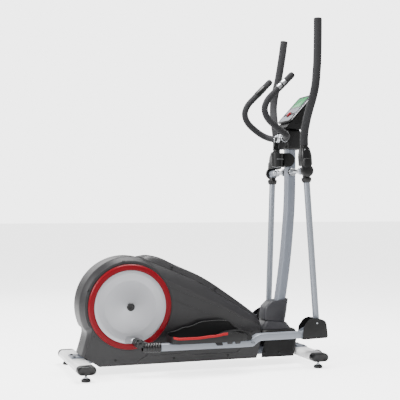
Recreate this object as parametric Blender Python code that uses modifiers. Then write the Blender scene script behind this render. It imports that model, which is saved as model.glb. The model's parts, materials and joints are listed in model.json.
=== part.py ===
"""Elliptical cross trainer: a rear-drive frame with crank discs, pedal arms and swing handles.

Metres, +Z up, +X forward to the mast, +Y to the user's left. Lengths along the machine are
given as `s`, forward of the rear stabiliser, and one root empty shifts them so that the origin
is the bottom centre of the whole machine.
"""

import math

import bmesh
import bpy
from mathutils import Matrix, Vector

# ---------------------------------------------------------------- driving dimensions
RIGHT, LEFT = -1, 1
SIDES = {"right": RIGHT, "left": LEFT}
GAP = 0.0004

# Base
STAB_DEPTH, STAB_HEIGHT, STAB_Z = 0.086, 0.040, 0.053
STAB_HALF, STAB_WALL, CAP_START, CAP_END = 0.2275, 0.002, 0.228, 0.270
REAR_S, FRONT_S = 0.0, 1.133
FOOT_Y, FOOT_R, FOOT_SCREW_R = 0.2376, 0.021, 0.005
WHEEL_S, WHEEL_Z, WHEEL_R, WHEEL_Y, WHEEL_HALF, WHEEL_PIN_R = 1.203, 0.037, 0.025, 0.085, 0.012, 0.004
RAIL_HALF, RAIL_LOW, RAIL_HIGH = 0.030, 0.045, 0.085
SADDLE_HALF, SADDLE_THICK = 0.045, 0.006
S_MID = (WHEEL_S + WHEEL_R - STAB_DEPTH / 2) / 2

# Crank and drive
CRANK = (0.235, 0.311)
CRANK_R, CRANK_LEAD = 0.160, 6.5
DISC_R, RING_R, DISC_IN, DISC_OUT = 0.171, 0.199, 0.1015, 0.1125
AXLE_R, WHEEL_AXLE_R = 0.010, 0.005
BEARING_R, BEARING_HALF = 0.028, 0.036
CRANK_PIN_R, CRANK_PIN_END = 0.011, 0.127
FLYWHEEL = (0.600, 0.215)
FLYWHEEL_R, FLYWHEEL_HALF, PULLEY_R, SMALL_PULLEY_R = 0.120, 0.017, 0.130, 0.020
FORK_Y, FORK_THICK, HUB_SHAFT_R = 0.026, 0.004, 0.012
MAGNET_GAP, MAGNET_THICK, MAGNET_HALF = 0.004, 0.012, 0.015
BELT_Y, BELT_HALF, BELT_THICK = 0.045, 0.006, 0.002

# Casing
CASE_HALF, CASE_EDGE_Y, CASE_R, CASE_FLAT_R = 0.100, 0.068, 0.234, 0.213
CASE_WALL = 0.003

# Linkage
PIVOT = (1.083, 0.952)
SWING_Y, SWING_LENGTH = 0.206, 0.768
RIGHT_SWING_DEG = 4.3
SWING_TUBE_R, HUB_R, HUB_IN, HUB_OUT = 0.0155, 0.018, 0.158, 0.221
ARM_HEIGHT, ARM_WIDTH = 0.034, 0.040
EAR_HALF, EAR_THICK = 0.019, 0.004
PIN_R, LOWER_BUSH_R = 0.006, 0.019
ARM_BOSS_R, ARM_BOSS_IN, ARM_BOSS_OUT, SPIGOT_R = 0.017, 0.131, 0.222, 0.0155
PEDAL_Y, PEDAL_HALF, PEDAL_FLOOR, PEDAL_WALL = 0.204, 0.074, 0.1502, 0.004
SHOE_HALF, SHOE_INSIDE = 0.032, 0.0295

# Mast, handles and console
MAST_DEPTH, MAST_WIDTH, MAST_TOP, MAST_TOP_S = 0.045, 0.056, 1.100, 1.0896
HANDLE_R, FOAM_R, HANDLE_Y = 0.014, 0.019, 0.186
BAR_R, SENSOR_WALL = 0.0135, 0.003
CUP_S, CUP_FLOOR, CUP_RIM = 1.024, 0.982, 1.047
BUTTON_R, BUTTON_ALONG = 0.014, -0.042
CONSOLE_LOW, CONSOLE_HIGH, CONSOLE_HALF = (1.060, 1.200), (1.185, 1.336), 0.077

# ---------------------------------------------------------------- scene and materials
for old in list(bpy.data.objects):
    bpy.data.objects.remove(old, do_unlink=True)

parts = bpy.data.collections.new("elliptical_trainer")
cutters = bpy.data.collections.new("cutters")
bpy.context.scene.collection.children.link(parts)
bpy.context.scene.collection.children.link(cutters)

root = bpy.data.objects.new("trainer_origin", None)
root.location = (-S_MID, 0.0, 0.0)
parts.objects.link(root)


def material(name, red, green, blue, roughness, metallic=0.0):
    made = bpy.data.materials.new(name)
    made.use_nodes = True
    shader = made.node_tree.nodes["Principled BSDF"]
    shader.inputs["Base Color"].default_value = (red, green, blue, 1.0)
    shader.inputs["Roughness"].default_value = roughness
    shader.inputs["Metallic"].default_value = metallic
    return made


CASING = material("casing_plastic", 0.075, 0.076, 0.08, 0.45)
DARK = material("dark_plastic", 0.03, 0.03, 0.033, 0.5)
BLACK = material("black_plastic", 0.012, 0.012, 0.013, 0.45)
RED = material("red_plastic", 0.45, 0.01, 0.02, 0.3)
SILVER = material("silver_plastic", 0.5, 0.5, 0.52, 0.35)
PALE = material("pale_paint", 0.75, 0.75, 0.75, 0.35)
GREY_PAINT = material("grey_paint", 0.36, 0.37, 0.40, 0.35)
STEEL = material("steel", 0.5, 0.5, 0.5, 0.3, 1.0)
IRON = material("cast_iron", 0.1, 0.1, 0.1, 0.6, 0.8)
FOAM = material("foam", 0.03, 0.03, 0.032, 0.9)
RUBBER = material("rubber", 0.02, 0.02, 0.02, 0.8)


# ---------------------------------------------------------------- modelling helpers
def add(mesh, name, finish, parent=root):
    """A named part of the machine made from a mesh."""
    made = bpy.data.objects.new(name, mesh)
    made.parent = parent
    mesh.materials.clear()
    mesh.materials.append(finish)
    mesh.shade_smooth()
    mesh.set_sharp_from_angle(angle=math.radians(35))
    parts.objects.link(made)
    return made


def helper(mesh, parent=root):
    """A hidden operand of a Boolean."""
    made = bpy.data.objects.new("operand", mesh)
    made.parent = parent
    made.hide_render = True
    made.display_type = "WIRE"
    cutters.objects.link(made)
    return made


def combine(target, operation, *meshes):
    for mesh in meshes:
        step = target.modifiers.new(operation.title(), "BOOLEAN")
        step.operation = operation
        step.solver = "EXACT"
        step.object = helper(mesh, target.parent)
    return target


def cut(target, *meshes):
    return combine(target, "DIFFERENCE", *meshes)


def join(target, *meshes):
    return combine(target, "UNION", *meshes)


def bevel(target, width, segments=2, angle=35):
    step = target.modifiers.new("Bevel", "BEVEL")
    step.width = width
    step.segments = segments
    step.limit_method = "ANGLE"
    step.angle_limit = math.radians(angle)
    return target


def thicken(target, wall):
    step = target.modifiers.new("Wall", "SOLIDIFY")
    step.thickness = wall
    step.offset = -1
    step.use_even_offset = True
    return target


def to_mesh(bm):
    mesh = bpy.data.meshes.new("shape")
    bm.to_mesh(mesh)
    bm.free()
    return mesh


def box(low, high):
    """A box between two corners."""
    bm = bmesh.new()
    low, high = Vector(low), Vector(high)
    size = high - low
    place = Matrix.Translation((low + high) / 2) @ Matrix.Diagonal((*size, 1.0))
    bmesh.ops.create_cube(bm, size=1.0, matrix=place)
    return to_mesh(bm)


def rod(start, end, radius, end_radius=None, sides=20):
    """A round bar or cone between two points."""
    start, end = Vector(start), Vector(end)
    axis = end - start
    turn = axis.to_track_quat("Z", "Y").to_matrix().to_4x4()
    bm = bmesh.new()
    bmesh.ops.create_cone(
        bm, cap_ends=True, segments=sides, radius1=radius,
        radius2=radius if end_radius is None else end_radius, depth=axis.length,
        matrix=Matrix.Translation((start + end) / 2) @ turn,
    )
    return to_mesh(bm)


def cross_rod(centre, y_low, y_high, radius, sides=20):
    """A round bar across the machine at (s, z)."""
    return rod((centre[0], y_low, centre[1]), (centre[0], y_high, centre[1]), radius, sides=sides)


def mesh_of(curve):
    """The closed mesh that a curve object makes, with its caps welded to its sides."""
    holder = bpy.data.objects.new("curve", curve)
    cutters.objects.link(holder)
    bpy.context.view_layer.update()
    ready = holder.evaluated_get(bpy.context.evaluated_depsgraph_get())
    made = bpy.data.meshes.new_from_object(ready)
    bpy.data.objects.remove(holder)
    bm = bmesh.new()
    bm.from_mesh(made)
    bmesh.ops.remove_doubles(bm, verts=bm.verts, dist=0.00002)
    bm.to_mesh(made)
    bm.free()
    return made


def plate(outline, y_low, y_high):
    """A flat (s, z) outline given a thickness across the machine."""
    curve = bpy.data.curves.new("outline", "CURVE")
    curve.dimensions = "2D"
    curve.fill_mode = "BOTH"
    curve.extrude = (y_high - y_low) / 2
    spline = curve.splines.new("POLY")
    spline.points.add(len(outline) - 1)
    for point, (s, z) in zip(spline.points, outline):
        point.co = (s, z, 0.0, 1.0)
    spline.use_cyclic_u = True
    made = mesh_of(curve)
    made.transform(Matrix.Translation((0, (y_low + y_high) / 2, 0)) @ Matrix.Rotation(math.pi / 2, 4, "X"))
    return made


def smooth_path(points, steps):
    """Points of a Catmull-Rom curve through the given ones."""
    ends = [2 * Vector(points[0]) - Vector(points[1]), *map(Vector, points)]
    ends.append(2 * ends[-1] - ends[-2])
    path = []
    for before, here, after, last in zip(ends, ends[1:], ends[2:], ends[3:]):
        for step in range(steps):
            t = step / steps
            path.append(0.5 * (2 * here + (after - before) * t
                               + (2 * before - 5 * here + 4 * after - last) * t * t
                               + (3 * here - before - 3 * after + last) * t ** 3))
    return [*path, ends[-2]]


def tube(path, radius=0.0, closed=True, profile=None, sides=10):
    """A round tube, or one of the given profile, along a path. An open tube has no end caps."""
    curve = bpy.data.curves.new("path", "CURVE")
    curve.dimensions = "3D"
    curve.use_fill_caps = closed
    curve.bevel_depth = radius
    curve.bevel_resolution = sides // 2 - 2
    if profile:
        curve.bevel_mode = "OBJECT"
        curve.bevel_object = profile
    spline = curve.splines.new("POLY")
    spline.points.add(len(path) - 1)
    for point, place in zip(spline.points, path):
        point.co = (*place, 1.0)
    return mesh_of(curve)


def rounded_profile(depth, width, corner, steps=1):
    """A closed profile curve: a rectangle with round corners."""
    curve = bpy.data.curves.new("profile", "CURVE")
    curve.dimensions = "2D"
    points = []
    for quarter, (sx, sy) in enumerate(((1, 1), (-1, 1), (-1, -1), (1, -1))):
        for step in range(steps + 1):
            angle = math.radians(90 * (quarter + step / steps))
            points.append((sx * (width / 2 - corner) + corner * math.cos(angle),
                           sy * (depth / 2 - corner) + corner * math.sin(angle)))
    spline = curve.splines.new("POLY")
    spline.points.add(len(points) - 1)
    for point, (x, y) in zip(spline.points, reversed(points)):
        point.co = (x, y, 0.0, 1.0)
    spline.use_cyclic_u = True
    holder = bpy.data.objects.new("profile", curve)
    holder.hide_render = True
    cutters.objects.link(holder)
    return holder


def turned(profile, centre, direction, sides):
    """A solid turned from (radius, height) points that run from the top, outside, to the bottom.
    Its axis is along `direction` from `centre`."""
    bm = bmesh.new()
    turn = Vector(direction).to_track_quat("Z", "Y").to_matrix().to_4x4()
    verts = [bm.verts.new((radius, 0.0, height)) for radius, height in profile]
    for low, high in zip(verts, verts[1:]):
        bm.edges.new((low, high))
    holder = bpy.data.objects.new("turned", to_mesh(bm))
    cutters.objects.link(holder)
    step = holder.modifiers.new("Turn", "SCREW")
    step.steps = step.render_steps = sides
    step.use_merge_vertices = True
    step.merge_threshold = 0.00001
    bpy.context.view_layer.update()
    ready = holder.evaluated_get(bpy.context.evaluated_depsgraph_get())
    made = bpy.data.meshes.new_from_object(ready)
    bpy.data.objects.remove(holder)
    made.transform(Matrix.Translation(centre) @ turn)
    return made


def shell(rows, panel, outward):
    """An open surface through rows of points. The points of `panel` close the last row into a
    flat face, which looks `outward`."""
    bm = bmesh.new()
    grid = [[bm.verts.new(point) for point in row] for row in rows]
    for row, after in zip(grid, grid[1:]):
        for a, b, c, d in zip(row, row[1:], after[1:], after):
            bm.faces.new((a, b, c, d))
    flat = bm.faces.new([*grid[-1], *(bm.verts.new(point) for point in panel)])
    bmesh.ops.recalc_face_normals(bm, faces=bm.faces)
    flat.normal_update()
    if flat.normal.dot(Vector(outward)) < 0:
        bmesh.ops.reverse_faces(bm, faces=bm.faces)
    return to_mesh(bm)


def loft(sections):
    """A closed solid through closed sections of equally many points."""
    bm = bmesh.new()
    grid = [[bm.verts.new(point) for point in section] for section in sections]
    for row, after in zip(grid, grid[1:]):
        for i in range(len(row)):
            j = (i + 1) % len(row)
            bm.faces.new((row[i], row[j], after[j], after[i]))
    bm.faces.new(grid[0])
    bm.faces.new(grid[-1])
    bmesh.ops.recalc_face_normals(bm, faces=bm.faces)
    return to_mesh(bm)


def level_section(s_low, s_high, half, z_low, z_high, corner):
    """A rectangle in plan with cut corners, whose front edge is at z_high and rear edge at z_low."""
    points = []
    for s, y in ((s_low + corner, -half), (s_high - corner, -half), (s_high, corner - half),
                 (s_high, half - corner), (s_high - corner, half), (s_low + corner, half),
                 (s_low, half - corner), (s_low, corner - half)):
        share = (s - s_low) / (s_high - s_low)
        points.append((s, y, z_low + (z_high - z_low) * share))
    return points


# ---------------------------------------------------------------- linkage at rest
def on_swing(degrees, along=0.0, up=0.0):
    """Where a point of a swing arm is, when its lower end has swung forward by `degrees`."""
    angle = math.radians(degrees)
    return (PIVOT[0] + along * math.cos(angle) - up * math.sin(angle),
            PIVOT[1] + along * math.sin(angle) + up * math.cos(angle))


def crank_pin(side):
    angle = math.radians(CRANK_LEAD)
    return (CRANK[0] - side * CRANK_R * math.sin(angle), CRANK[1] + side * CRANK_R * math.cos(angle))


ARM_REACH = math.dist(crank_pin(RIGHT), on_swing(RIGHT_SWING_DEG, up=-SWING_LENGTH))


def left_swing_degrees():
    """The left swing's angle, where the same pedal arm also reaches the opposite crank pin."""
    low, high = -9.0, RIGHT_SWING_DEG
    for _ in range(40):
        middle = (low + high) / 2
        if math.dist(crank_pin(LEFT), on_swing(middle, up=-SWING_LENGTH)) < ARM_REACH:
            low = middle
        else:
            high = middle
    return middle


SWING_DEG = {"right": RIGHT_SWING_DEG, "left": left_swing_degrees()}


# ---------------------------------------------------------------- base
def oval(centre_s, y_low, y_high, grow=0.0, steps=6):
    """A flat-sided oval bar across the machine."""
    radius = STAB_HEIGHT / 2 + grow
    reach = STAB_DEPTH / 2 - STAB_HEIGHT / 2
    outline = []
    for end in (1, -1):
        for step in range(steps + 1):
            angle = math.radians(90 - 180 * step / steps) + (0 if end > 0 else math.pi)
            outline.append((centre_s + end * reach + radius * math.cos(angle),
                            STAB_Z + radius * math.sin(angle)))
    return plate(outline, y_low, y_high)


def make_wheel_ears(beam):
    """Two welded ears and a pin on each side of the front stabiliser."""
    ear_middle, ear_half, ear_reach = WHEEL_HALF + 0.004, 0.0015, 0.010
    for side in SIDES.values():
        for end in (-1, 1):
            y = side * WHEEL_Y + end * ear_middle
            join(beam, box((FRONT_S + 0.030, y - ear_half, WHEEL_Z - ear_reach),
                           (WHEEL_S + ear_reach, y + ear_half, WHEEL_Z + ear_reach)))
        pin_half = ear_middle + 0.002
        join(beam, cross_rod((WHEEL_S, WHEEL_Z), side * WHEEL_Y - pin_half, side * WHEEL_Y + pin_half,
                             WHEEL_PIN_R, 12))


def make_base():
    for name, place in (("rear", REAR_S), ("front", FRONT_S)):
        beam = add(oval(place, -STAB_HALF, STAB_HALF), f"{name}_stabiliser", PALE)
        if name == "front":
            make_wheel_ears(beam)
        cut(beam, oval(place, -STAB_HALF - 0.01, STAB_HALF + 0.01, -STAB_WALL))
        for side_name, side in SIDES.items():
            low, high = sorted((side * CAP_START, side * CAP_END))
            cap = add(oval(place, low, high), f"{name}_end_cap_{side_name}", BLACK)
            bevel(cap, 0.006, 2, 60)
            cut(cap, rod((place, side * FOOT_Y, 0.0), (place, side * FOOT_Y, 0.052), FOOT_SCREW_R + 0.0005,
                         sides=12))
            foot = turned([(0, 0.046), (FOOT_SCREW_R, 0.046), (FOOT_SCREW_R, 0.019), (0.008, 0.016),
                           (FOOT_R - 0.003, 0.014), (FOOT_R, 0.010), (FOOT_R, 0.002), (FOOT_R - 0.002, 0.0),
                           (0, 0)],
                          (place, side * FOOT_Y, 0.0), (0, 0, 1), 12)
            add(foot, f"{name}_foot_{side_name}", RUBBER)
    for side_name, side in SIDES.items():
        bore, edge = WHEEL_PIN_R + 0.0005, 0.004
        wheel = turned([(bore, WHEEL_HALF), (WHEEL_R - edge, WHEEL_HALF), (WHEEL_R, WHEEL_HALF - edge),
                        (WHEEL_R, edge - WHEEL_HALF), (WHEEL_R - edge, -WHEEL_HALF), (bore, -WHEEL_HALF),
                        (bore, WHEEL_HALF)],
                       (WHEEL_S, side * WHEEL_Y, WHEEL_Z), (0, 1, 0), 16)
        add(wheel, f"transport_wheel_{side_name}", RUBBER)


def make_frame():
    frame = add(box((0.0445, -RAIL_HALF, RAIL_LOW), (1.0885, RAIL_HALF, RAIL_HIGH)), "main_frame", GREY_PAINT)
    saddle_low = STAB_Z + STAB_HEIGHT / 2 + GAP
    post_half_s, post_half_y = 0.025, 0.022
    join(frame,
         box((-0.030, -SADDLE_HALF, saddle_low), (0.060, SADDLE_HALF, saddle_low + SADDLE_THICK)),
         box((1.075, -SADDLE_HALF, saddle_low), (1.160, SADDLE_HALF, saddle_low + SADDLE_THICK)),
         box((CRANK[0] - post_half_s, -post_half_y, RAIL_HIGH - 0.01),
             (CRANK[0] + post_half_s, post_half_y, CRANK[1])),
         cross_rod(CRANK, -BEARING_HALF, BEARING_HALF, BEARING_R, 20))
    foot_half, top_half = 0.050, 0.022
    cheek = [(FLYWHEEL[0] - foot_half, RAIL_HIGH - 0.008), (FLYWHEEL[0] + foot_half, RAIL_HIGH - 0.008),
             (FLYWHEEL[0] + top_half, FLYWHEEL[1] + top_half),
             (FLYWHEEL[0] - top_half, FLYWHEEL[1] + top_half)]
    for y in (-FORK_Y, FORK_Y):
        join(frame, plate(cheek, y - FORK_THICK / 2, y + FORK_THICK / 2))
    cut(frame,
        cross_rod(CRANK, -0.06, 0.06, AXLE_R + GAP, 20),
        cross_rod(FLYWHEEL, 0.0, 0.06, HUB_SHAFT_R + 0.0015, 16),
        cross_rod(FLYWHEEL, -0.06, 0.0, WHEEL_AXLE_R + GAP, 12))


# ---------------------------------------------------------------- drive
def belt_outline(grow):
    """The outline of a belt round both pulleys, `grow` outside them."""
    big, small = PULLEY_R + grow, SMALL_PULLEY_R + grow
    span = math.dist(CRANK, FLYWHEEL)
    lean = math.atan2(FLYWHEEL[1] - CRANK[1], FLYWHEEL[0] - CRANK[0])
    wrap = math.acos((big - small) / span)
    outline = []
    for centre, radius, start, sweep, steps in ((CRANK, big, wrap, 2 * math.pi - 2 * wrap, 24),
                                                (FLYWHEEL, small, -wrap, 2 * wrap, 10)):
        for step in range(steps + 1):
            angle = lean + start + sweep * step / steps
            outline.append((centre[0] + radius * math.cos(angle), centre[1] + radius * math.sin(angle)))
    return outline


def make_drive():
    add(cross_rod(CRANK, -DISC_OUT - 0.001, DISC_OUT + 0.001, AXLE_R, 20), "crank_axle", STEEL)
    pulley = add(cross_rod(CRANK, BELT_Y - BELT_HALF, BELT_Y + BELT_HALF, PULLEY_R, 32), "drive_pulley",
                 BLACK)
    cut(pulley, cross_rod(CRANK, 0.0, 0.1, AXLE_R + GAP, 20))
    belt = add(plate(belt_outline(GAP + BELT_THICK), BELT_Y - BELT_HALF, BELT_Y + BELT_HALF),
               "drive_belt", RUBBER)
    cut(belt, plate(belt_outline(GAP), 0.0, 0.1))
    flywheel = add(cross_rod(FLYWHEEL, -FLYWHEEL_HALF, FLYWHEEL_HALF, FLYWHEEL_R, 32), "flywheel", IRON)
    join(flywheel, cross_rod(FLYWHEEL, FLYWHEEL_HALF - 0.007, BELT_Y + 0.001, HUB_SHAFT_R, 16),
         cross_rod(FLYWHEEL, BELT_Y - BELT_HALF, BELT_Y + BELT_HALF, SMALL_PULLEY_R, 20))
    cut(flywheel, cross_rod(FLYWHEEL, -0.1, 0.1, WHEEL_AXLE_R + GAP, 12))
    add(cross_rod(FLYWHEEL, -0.034, 0.058, WHEEL_AXLE_R, 12), "flywheel_axle", STEEL)
    inner, outer = FLYWHEEL_R + MAGNET_GAP, FLYWHEEL_R + MAGNET_GAP + MAGNET_THICK
    degrees = (25, 38, 51, 64)
    arc = [(FLYWHEEL[0] + radius * math.cos(math.radians(angle)),
            FLYWHEEL[1] + radius * math.sin(math.radians(angle)))
           for radius, angles in ((inner, degrees), (outer, degrees[::-1])) for angle in angles]
    add(plate(arc, -MAGNET_HALF, MAGNET_HALF), "brake_magnet", IRON)
    for side_name, side in SIDES.items():
        make_crank_disc(side_name, side)


def make_crank_disc(side_name, side):
    face = (CRANK[0], side * DISC_IN, CRANK[1])
    depth = DISC_OUT - DISC_IN
    flat_r, flat_depth = 0.129, depth - 0.003
    disc = add(turned([(AXLE_R + GAP, flat_depth), (flat_r, flat_depth), (DISC_R, depth),
                       (DISC_R, 0.0), (AXLE_R + GAP, 0.0), (AXLE_R + GAP, flat_depth)],
                      face, (0, side, 0), 36), f"crank_disc_{side_name}", SILVER)
    pin = crank_pin(side)
    low, high = sorted((side * (DISC_OUT - 0.006), side * CRANK_PIN_END))
    join(disc, cross_rod(pin, low, high, CRANK_PIN_R, 16))
    ring = add(turned([(DISC_R + GAP, depth), (RING_R - 0.006, depth), (RING_R, depth - 0.006), (RING_R, 0.0),
                       (DISC_R + GAP, 0.0), (DISC_R + GAP, depth)], face, (0, side, 0), 36),
               f"crank_ring_{side_name}", RED)
    cut(ring, cross_rod(pin, low, high, CRANK_PIN_R + 0.0005, 16))
    outer = side * (DISC_OUT + 0.0015)
    add(turned([(0, 0.006), (0.015, 0.006), (0.019, 0.002), (0.019, 0.0), (0, 0)],
               (CRANK[0], outer, CRANK[1]), (0, side, 0), 20), f"hub_cap_{side_name}", BLACK)


# ---------------------------------------------------------------- casing
CASE_EDGE = [(0.335, 0.520), (0.419, 0.486), (0.500, 0.452), (0.589, 0.410), (0.694, 0.347), (0.810, 0.277),
             (0.872, 0.236), (0.902, 0.205), (0.907, 0.122), (0.900, 0.092)]
CASE_SHOULDER = [(0.385, 0.452), (0.419, 0.426), (0.500, 0.388), (0.589, 0.346), (0.694, 0.296),
                 (0.810, 0.236), (0.860, 0.212), (0.884, 0.185), (0.887, 0.122), (0.868, 0.040)]
SPINE = [(0.299, 0.546), (0.316, 0.5495), (0.393, 0.536), (0.482, 0.495), (0.613, 0.436), (0.745, 0.350),
         (0.881, 0.251), (0.899, 0.224)]


def arc_about_crank(radius, start, end, steps=16):
    return [(CRANK[0] + radius * math.cos(math.radians(start + (end - start) * i / steps)),
             CRANK[1] + radius * math.sin(math.radians(start + (end - start) * i / steps)))
            for i in range(steps + 1)]


def height_on(line, s):
    """The height of a line of (s, z) points at s."""
    for (s0, z0), (s1, z1) in zip(line, line[1:]):
        if s0 <= s <= s1:
            return z0 + (z1 - z0) * (s - s0) / (s1 - s0)
    return line[0][1]


def make_casing():
    edge = [(0.012, 0.086), *arc_about_crank(CASE_R, 212, 75), *CASE_EDGE]
    flat = [(0.018, 0.086), *arc_about_crank(CASE_FLAT_R, 212, 52), *CASE_SHOULDER]
    for side_name, side in SIDES.items():
        rows = [[(s, side * y, z) for s, z in line]
                for y, line in ((0.0005, edge), (CASE_EDGE_Y, edge), (CASE_HALF, flat))]
        bottom = [(0.090, side * CASE_HALF, 0.038), (0.060, side * CASE_HALF, 0.058)]
        half = add(shell(rows, bottom, (0, side, 0)), f"casing_{side_name}", CASING)
        thicken(half, CASE_WALL)
        cut(half, cross_rod(CRANK, 0.0, side * 0.12, BEARING_R + 0.002, 24))
    top_line = [*arc_about_crank(CASE_R, 95, 75, 4), *CASE_EDGE[:8]]
    stations = sorted({s for s, _ in [*SPINE, *CASE_EDGE] if SPINE[0][0] <= s <= SPINE[-1][0]})
    outside, inside = [], []
    for s in stations:
        ridge, seat = height_on(SPINE, s), height_on(top_line, s) + 0.001
        outside.append([(s, -0.060, seat), (s, -0.046, ridge), (s, 0.046, ridge), (s, 0.060, seat)])
        inside.append([(s, -0.057, seat - 0.01), (s, -0.043, ridge - CASE_WALL),
                       (s, 0.043, ridge - CASE_WALL), (s, 0.057, seat - 0.01)])
    spine = add(loft(outside), "casing_spine", CASING)
    cut(spine, loft(inside[1:-1]))


def make_front_covers():
    base = add(loft([level_section(0.9085, 1.098, 0.070, 0.170, 0.170, 0.03),
                     level_section(0.9085, 1.098, 0.084, 0.120, 0.120, 0.03),
                     level_section(0.894, 1.080, 0.088, 0.038, 0.038, 0.03)]), "front_base_cover", DARK)
    cut(base, box((0.85, -0.066, 0.0), (1.082, 0.066, 0.150)),
        box((0.985, -0.047, 0.01), (1.12, 0.047, 0.0880)),
        box((0.965, -0.034, 0.13), (1.035, 0.034, 0.2)))
    lower = add(loft([level_section(0.912, 1.072, 0.064, 0.1705, 0.1705, 0.02),
                      level_section(0.941, 1.056, 0.050, 0.212, 0.200, 0.02)]), "mast_boot_lower", CASING)
    cut(lower, box((0.955, -0.034, 0.16), (1.045, 0.034, 0.22)))
    upper = add(loft([level_section(0.934, 1.047, 0.046, 0.2135, 0.2015, 0.018),
                      level_section(0.940, 1.058, 0.044, 0.272, 0.262, 0.018),
                      level_section(0.968, 1.068, 0.040, 0.305, 0.318, 0.018)]), "mast_boot_upper", CASING)
    mast_gap = rounded_profile(MAST_DEPTH + 0.004, MAST_WIDTH + 0.004, 0.012)
    cut(upper, tube(mast_path(), profile=mast_gap))


# ---------------------------------------------------------------- mast and cockpit
def mast_path():
    points = [(0.990, 0, 0.0895), (1.007, 0, 0.190), (1.034, 0, 0.312), (1.062, 0, 0.509), (1.079, 0, 0.685),
              (1.087, 0, 0.812), (MAST_TOP_S, 0, 0.960), (MAST_TOP_S, 0, MAST_TOP)]
    return [Vector(point) for point in points]


def make_mast():
    mast = add(tube(mast_path(), closed=False, profile=rounded_profile(MAST_DEPTH, MAST_WIDTH, 0.010)),
               "mast", GREY_PAINT)
    thicken(mast, 0.002)
    cut(mast, cross_rod(PIVOT, -0.1, 0.1, AXLE_R + GAP, 16))
    add(cross_rod(PIVOT, -0.2225, 0.2225, AXLE_R, 16), "pivot_axle", STEEL)
    head = add(box((1.0625, -0.036, 1.064), (1.136, 0.036, 1.166)), "head_cover", BLACK)
    bevel(head, 0.010, 2)
    cut(head, box((1.0655, -0.0295, 1.05), (1.1145, 0.0295, MAST_TOP + 0.002)))
    foot_r, rim_r, wall, cheek_y = 0.031, 0.035, 0.003, 0.0325
    cup = add(rod((CUP_S, 0, CUP_FLOOR - 0.004), (CUP_S, 0, CUP_RIM), foot_r, rim_r, 24), "cup_holder", BLACK)
    join(cup, box((1.045, -cheek_y, 0.984), (1.085, cheek_y, 1.041)),
         plate([(1.080, 0.990), (1.096, 0.998), (1.106, 1.0125), (1.096, 1.027), (1.080, 1.035)],
               -cheek_y, cheek_y))
    cut(cup, box((MAST_TOP_S - MAST_DEPTH / 2 - GAP, -MAST_WIDTH / 2 - GAP, 0.9),
                 (1.13, MAST_WIDTH / 2 + GAP, 1.1)),
        rod((CUP_S, 0, CUP_FLOOR), (CUP_S, 0, CUP_RIM + 0.013), foot_r - wall, rim_r - wall, 24))


def bar_path():
    """The fixed handlebar: from one hand's end, through the clamp, to the other's."""
    half = [(1.045, 0.140, 1.430), (0.960, 0.136, 1.346), (0.914, 0.134, 1.297), (0.898, 0.133, 1.250),
            (0.918, 0.132, 1.203), (0.973, 0.131, 1.158), (1.015, 0.118, 1.134), (1.040, 0.075, 1.122),
            (1.0455, 0.030, 1.120)]
    return [(s, -y, z) for s, y, z in half] + half[::-1]


def make_cockpit():
    path = smooth_path(bar_path(), 2)
    add(tube(path, BAR_R, sides=8), "fixed_handlebar", FOAM)
    clamp = add(box((1.026, -0.020, 1.100), (1.0620, 0.020, 1.140)), "handlebar_clamp", STEEL)
    bevel(clamp, 0.006)
    cut(clamp, tube(path, BAR_R + 0.0010, sides=8))
    for side_name, side in SIDES.items():
        low, high = Vector((0.966, side * 0.1363, 1.3520)), Vector((1.004, side * 0.1380, 1.3890))
        sleeve = add(rod(low, high, BAR_R + SENSOR_WALL, sides=16), f"pulse_sensor_{side_name}", STEEL)
        cut(sleeve, tube(path, BAR_R + 0.0010, sides=8))
    make_console()


def make_console():
    low, high = Vector((CONSOLE_LOW[0], 0, CONSOLE_LOW[1])), Vector((CONSOLE_HIGH[0], 0, CONSOLE_HIGH[1]))
    slope = math.atan2(high.z - low.z, high.x - low.x)
    length = (high - low).length
    tilt = bpy.data.objects.new("console_tilt", None)
    tilt.parent = root
    tilt.location = (low + high) / 2
    tilt.rotation_euler = (0, -slope, 0)
    parts.objects.link(tilt)
    housing = add(plate([(1.066, 1.198), (1.186, 1.328), (1.199, 1.316), (1.176, 1.232), (1.150, 1.170),
                         (1.1385, 1.1665), (1.062, 1.1668), (1.040, 1.176)], -0.070, 0.070),
                         "console_housing", BLACK)
    bevel(housing, 0.008, 2, 30)
    panel = add(box((-length / 2, -CONSOLE_HALF, 0.0), (length / 2, CONSOLE_HALF, 0.010)), "console_panel",
                SILVER, tilt)
    bevel(panel, 0.004, 2)
    cut(panel, rod((BUTTON_ALONG, 0, 0.004), (BUTTON_ALONG, 0, 0.03), BUTTON_R + 0.0005, sides=24),
        box((0.014, -0.060, 0.0085), (0.080, 0.060, 0.02)))
    button = add(rod((0, 0, 0), (0, 0, 0.010), BUTTON_R, BUTTON_R - 0.0015, 24), "select_button", RED, tilt)
    button.location = (BUTTON_ALONG, 0, 0.0062)


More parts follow.
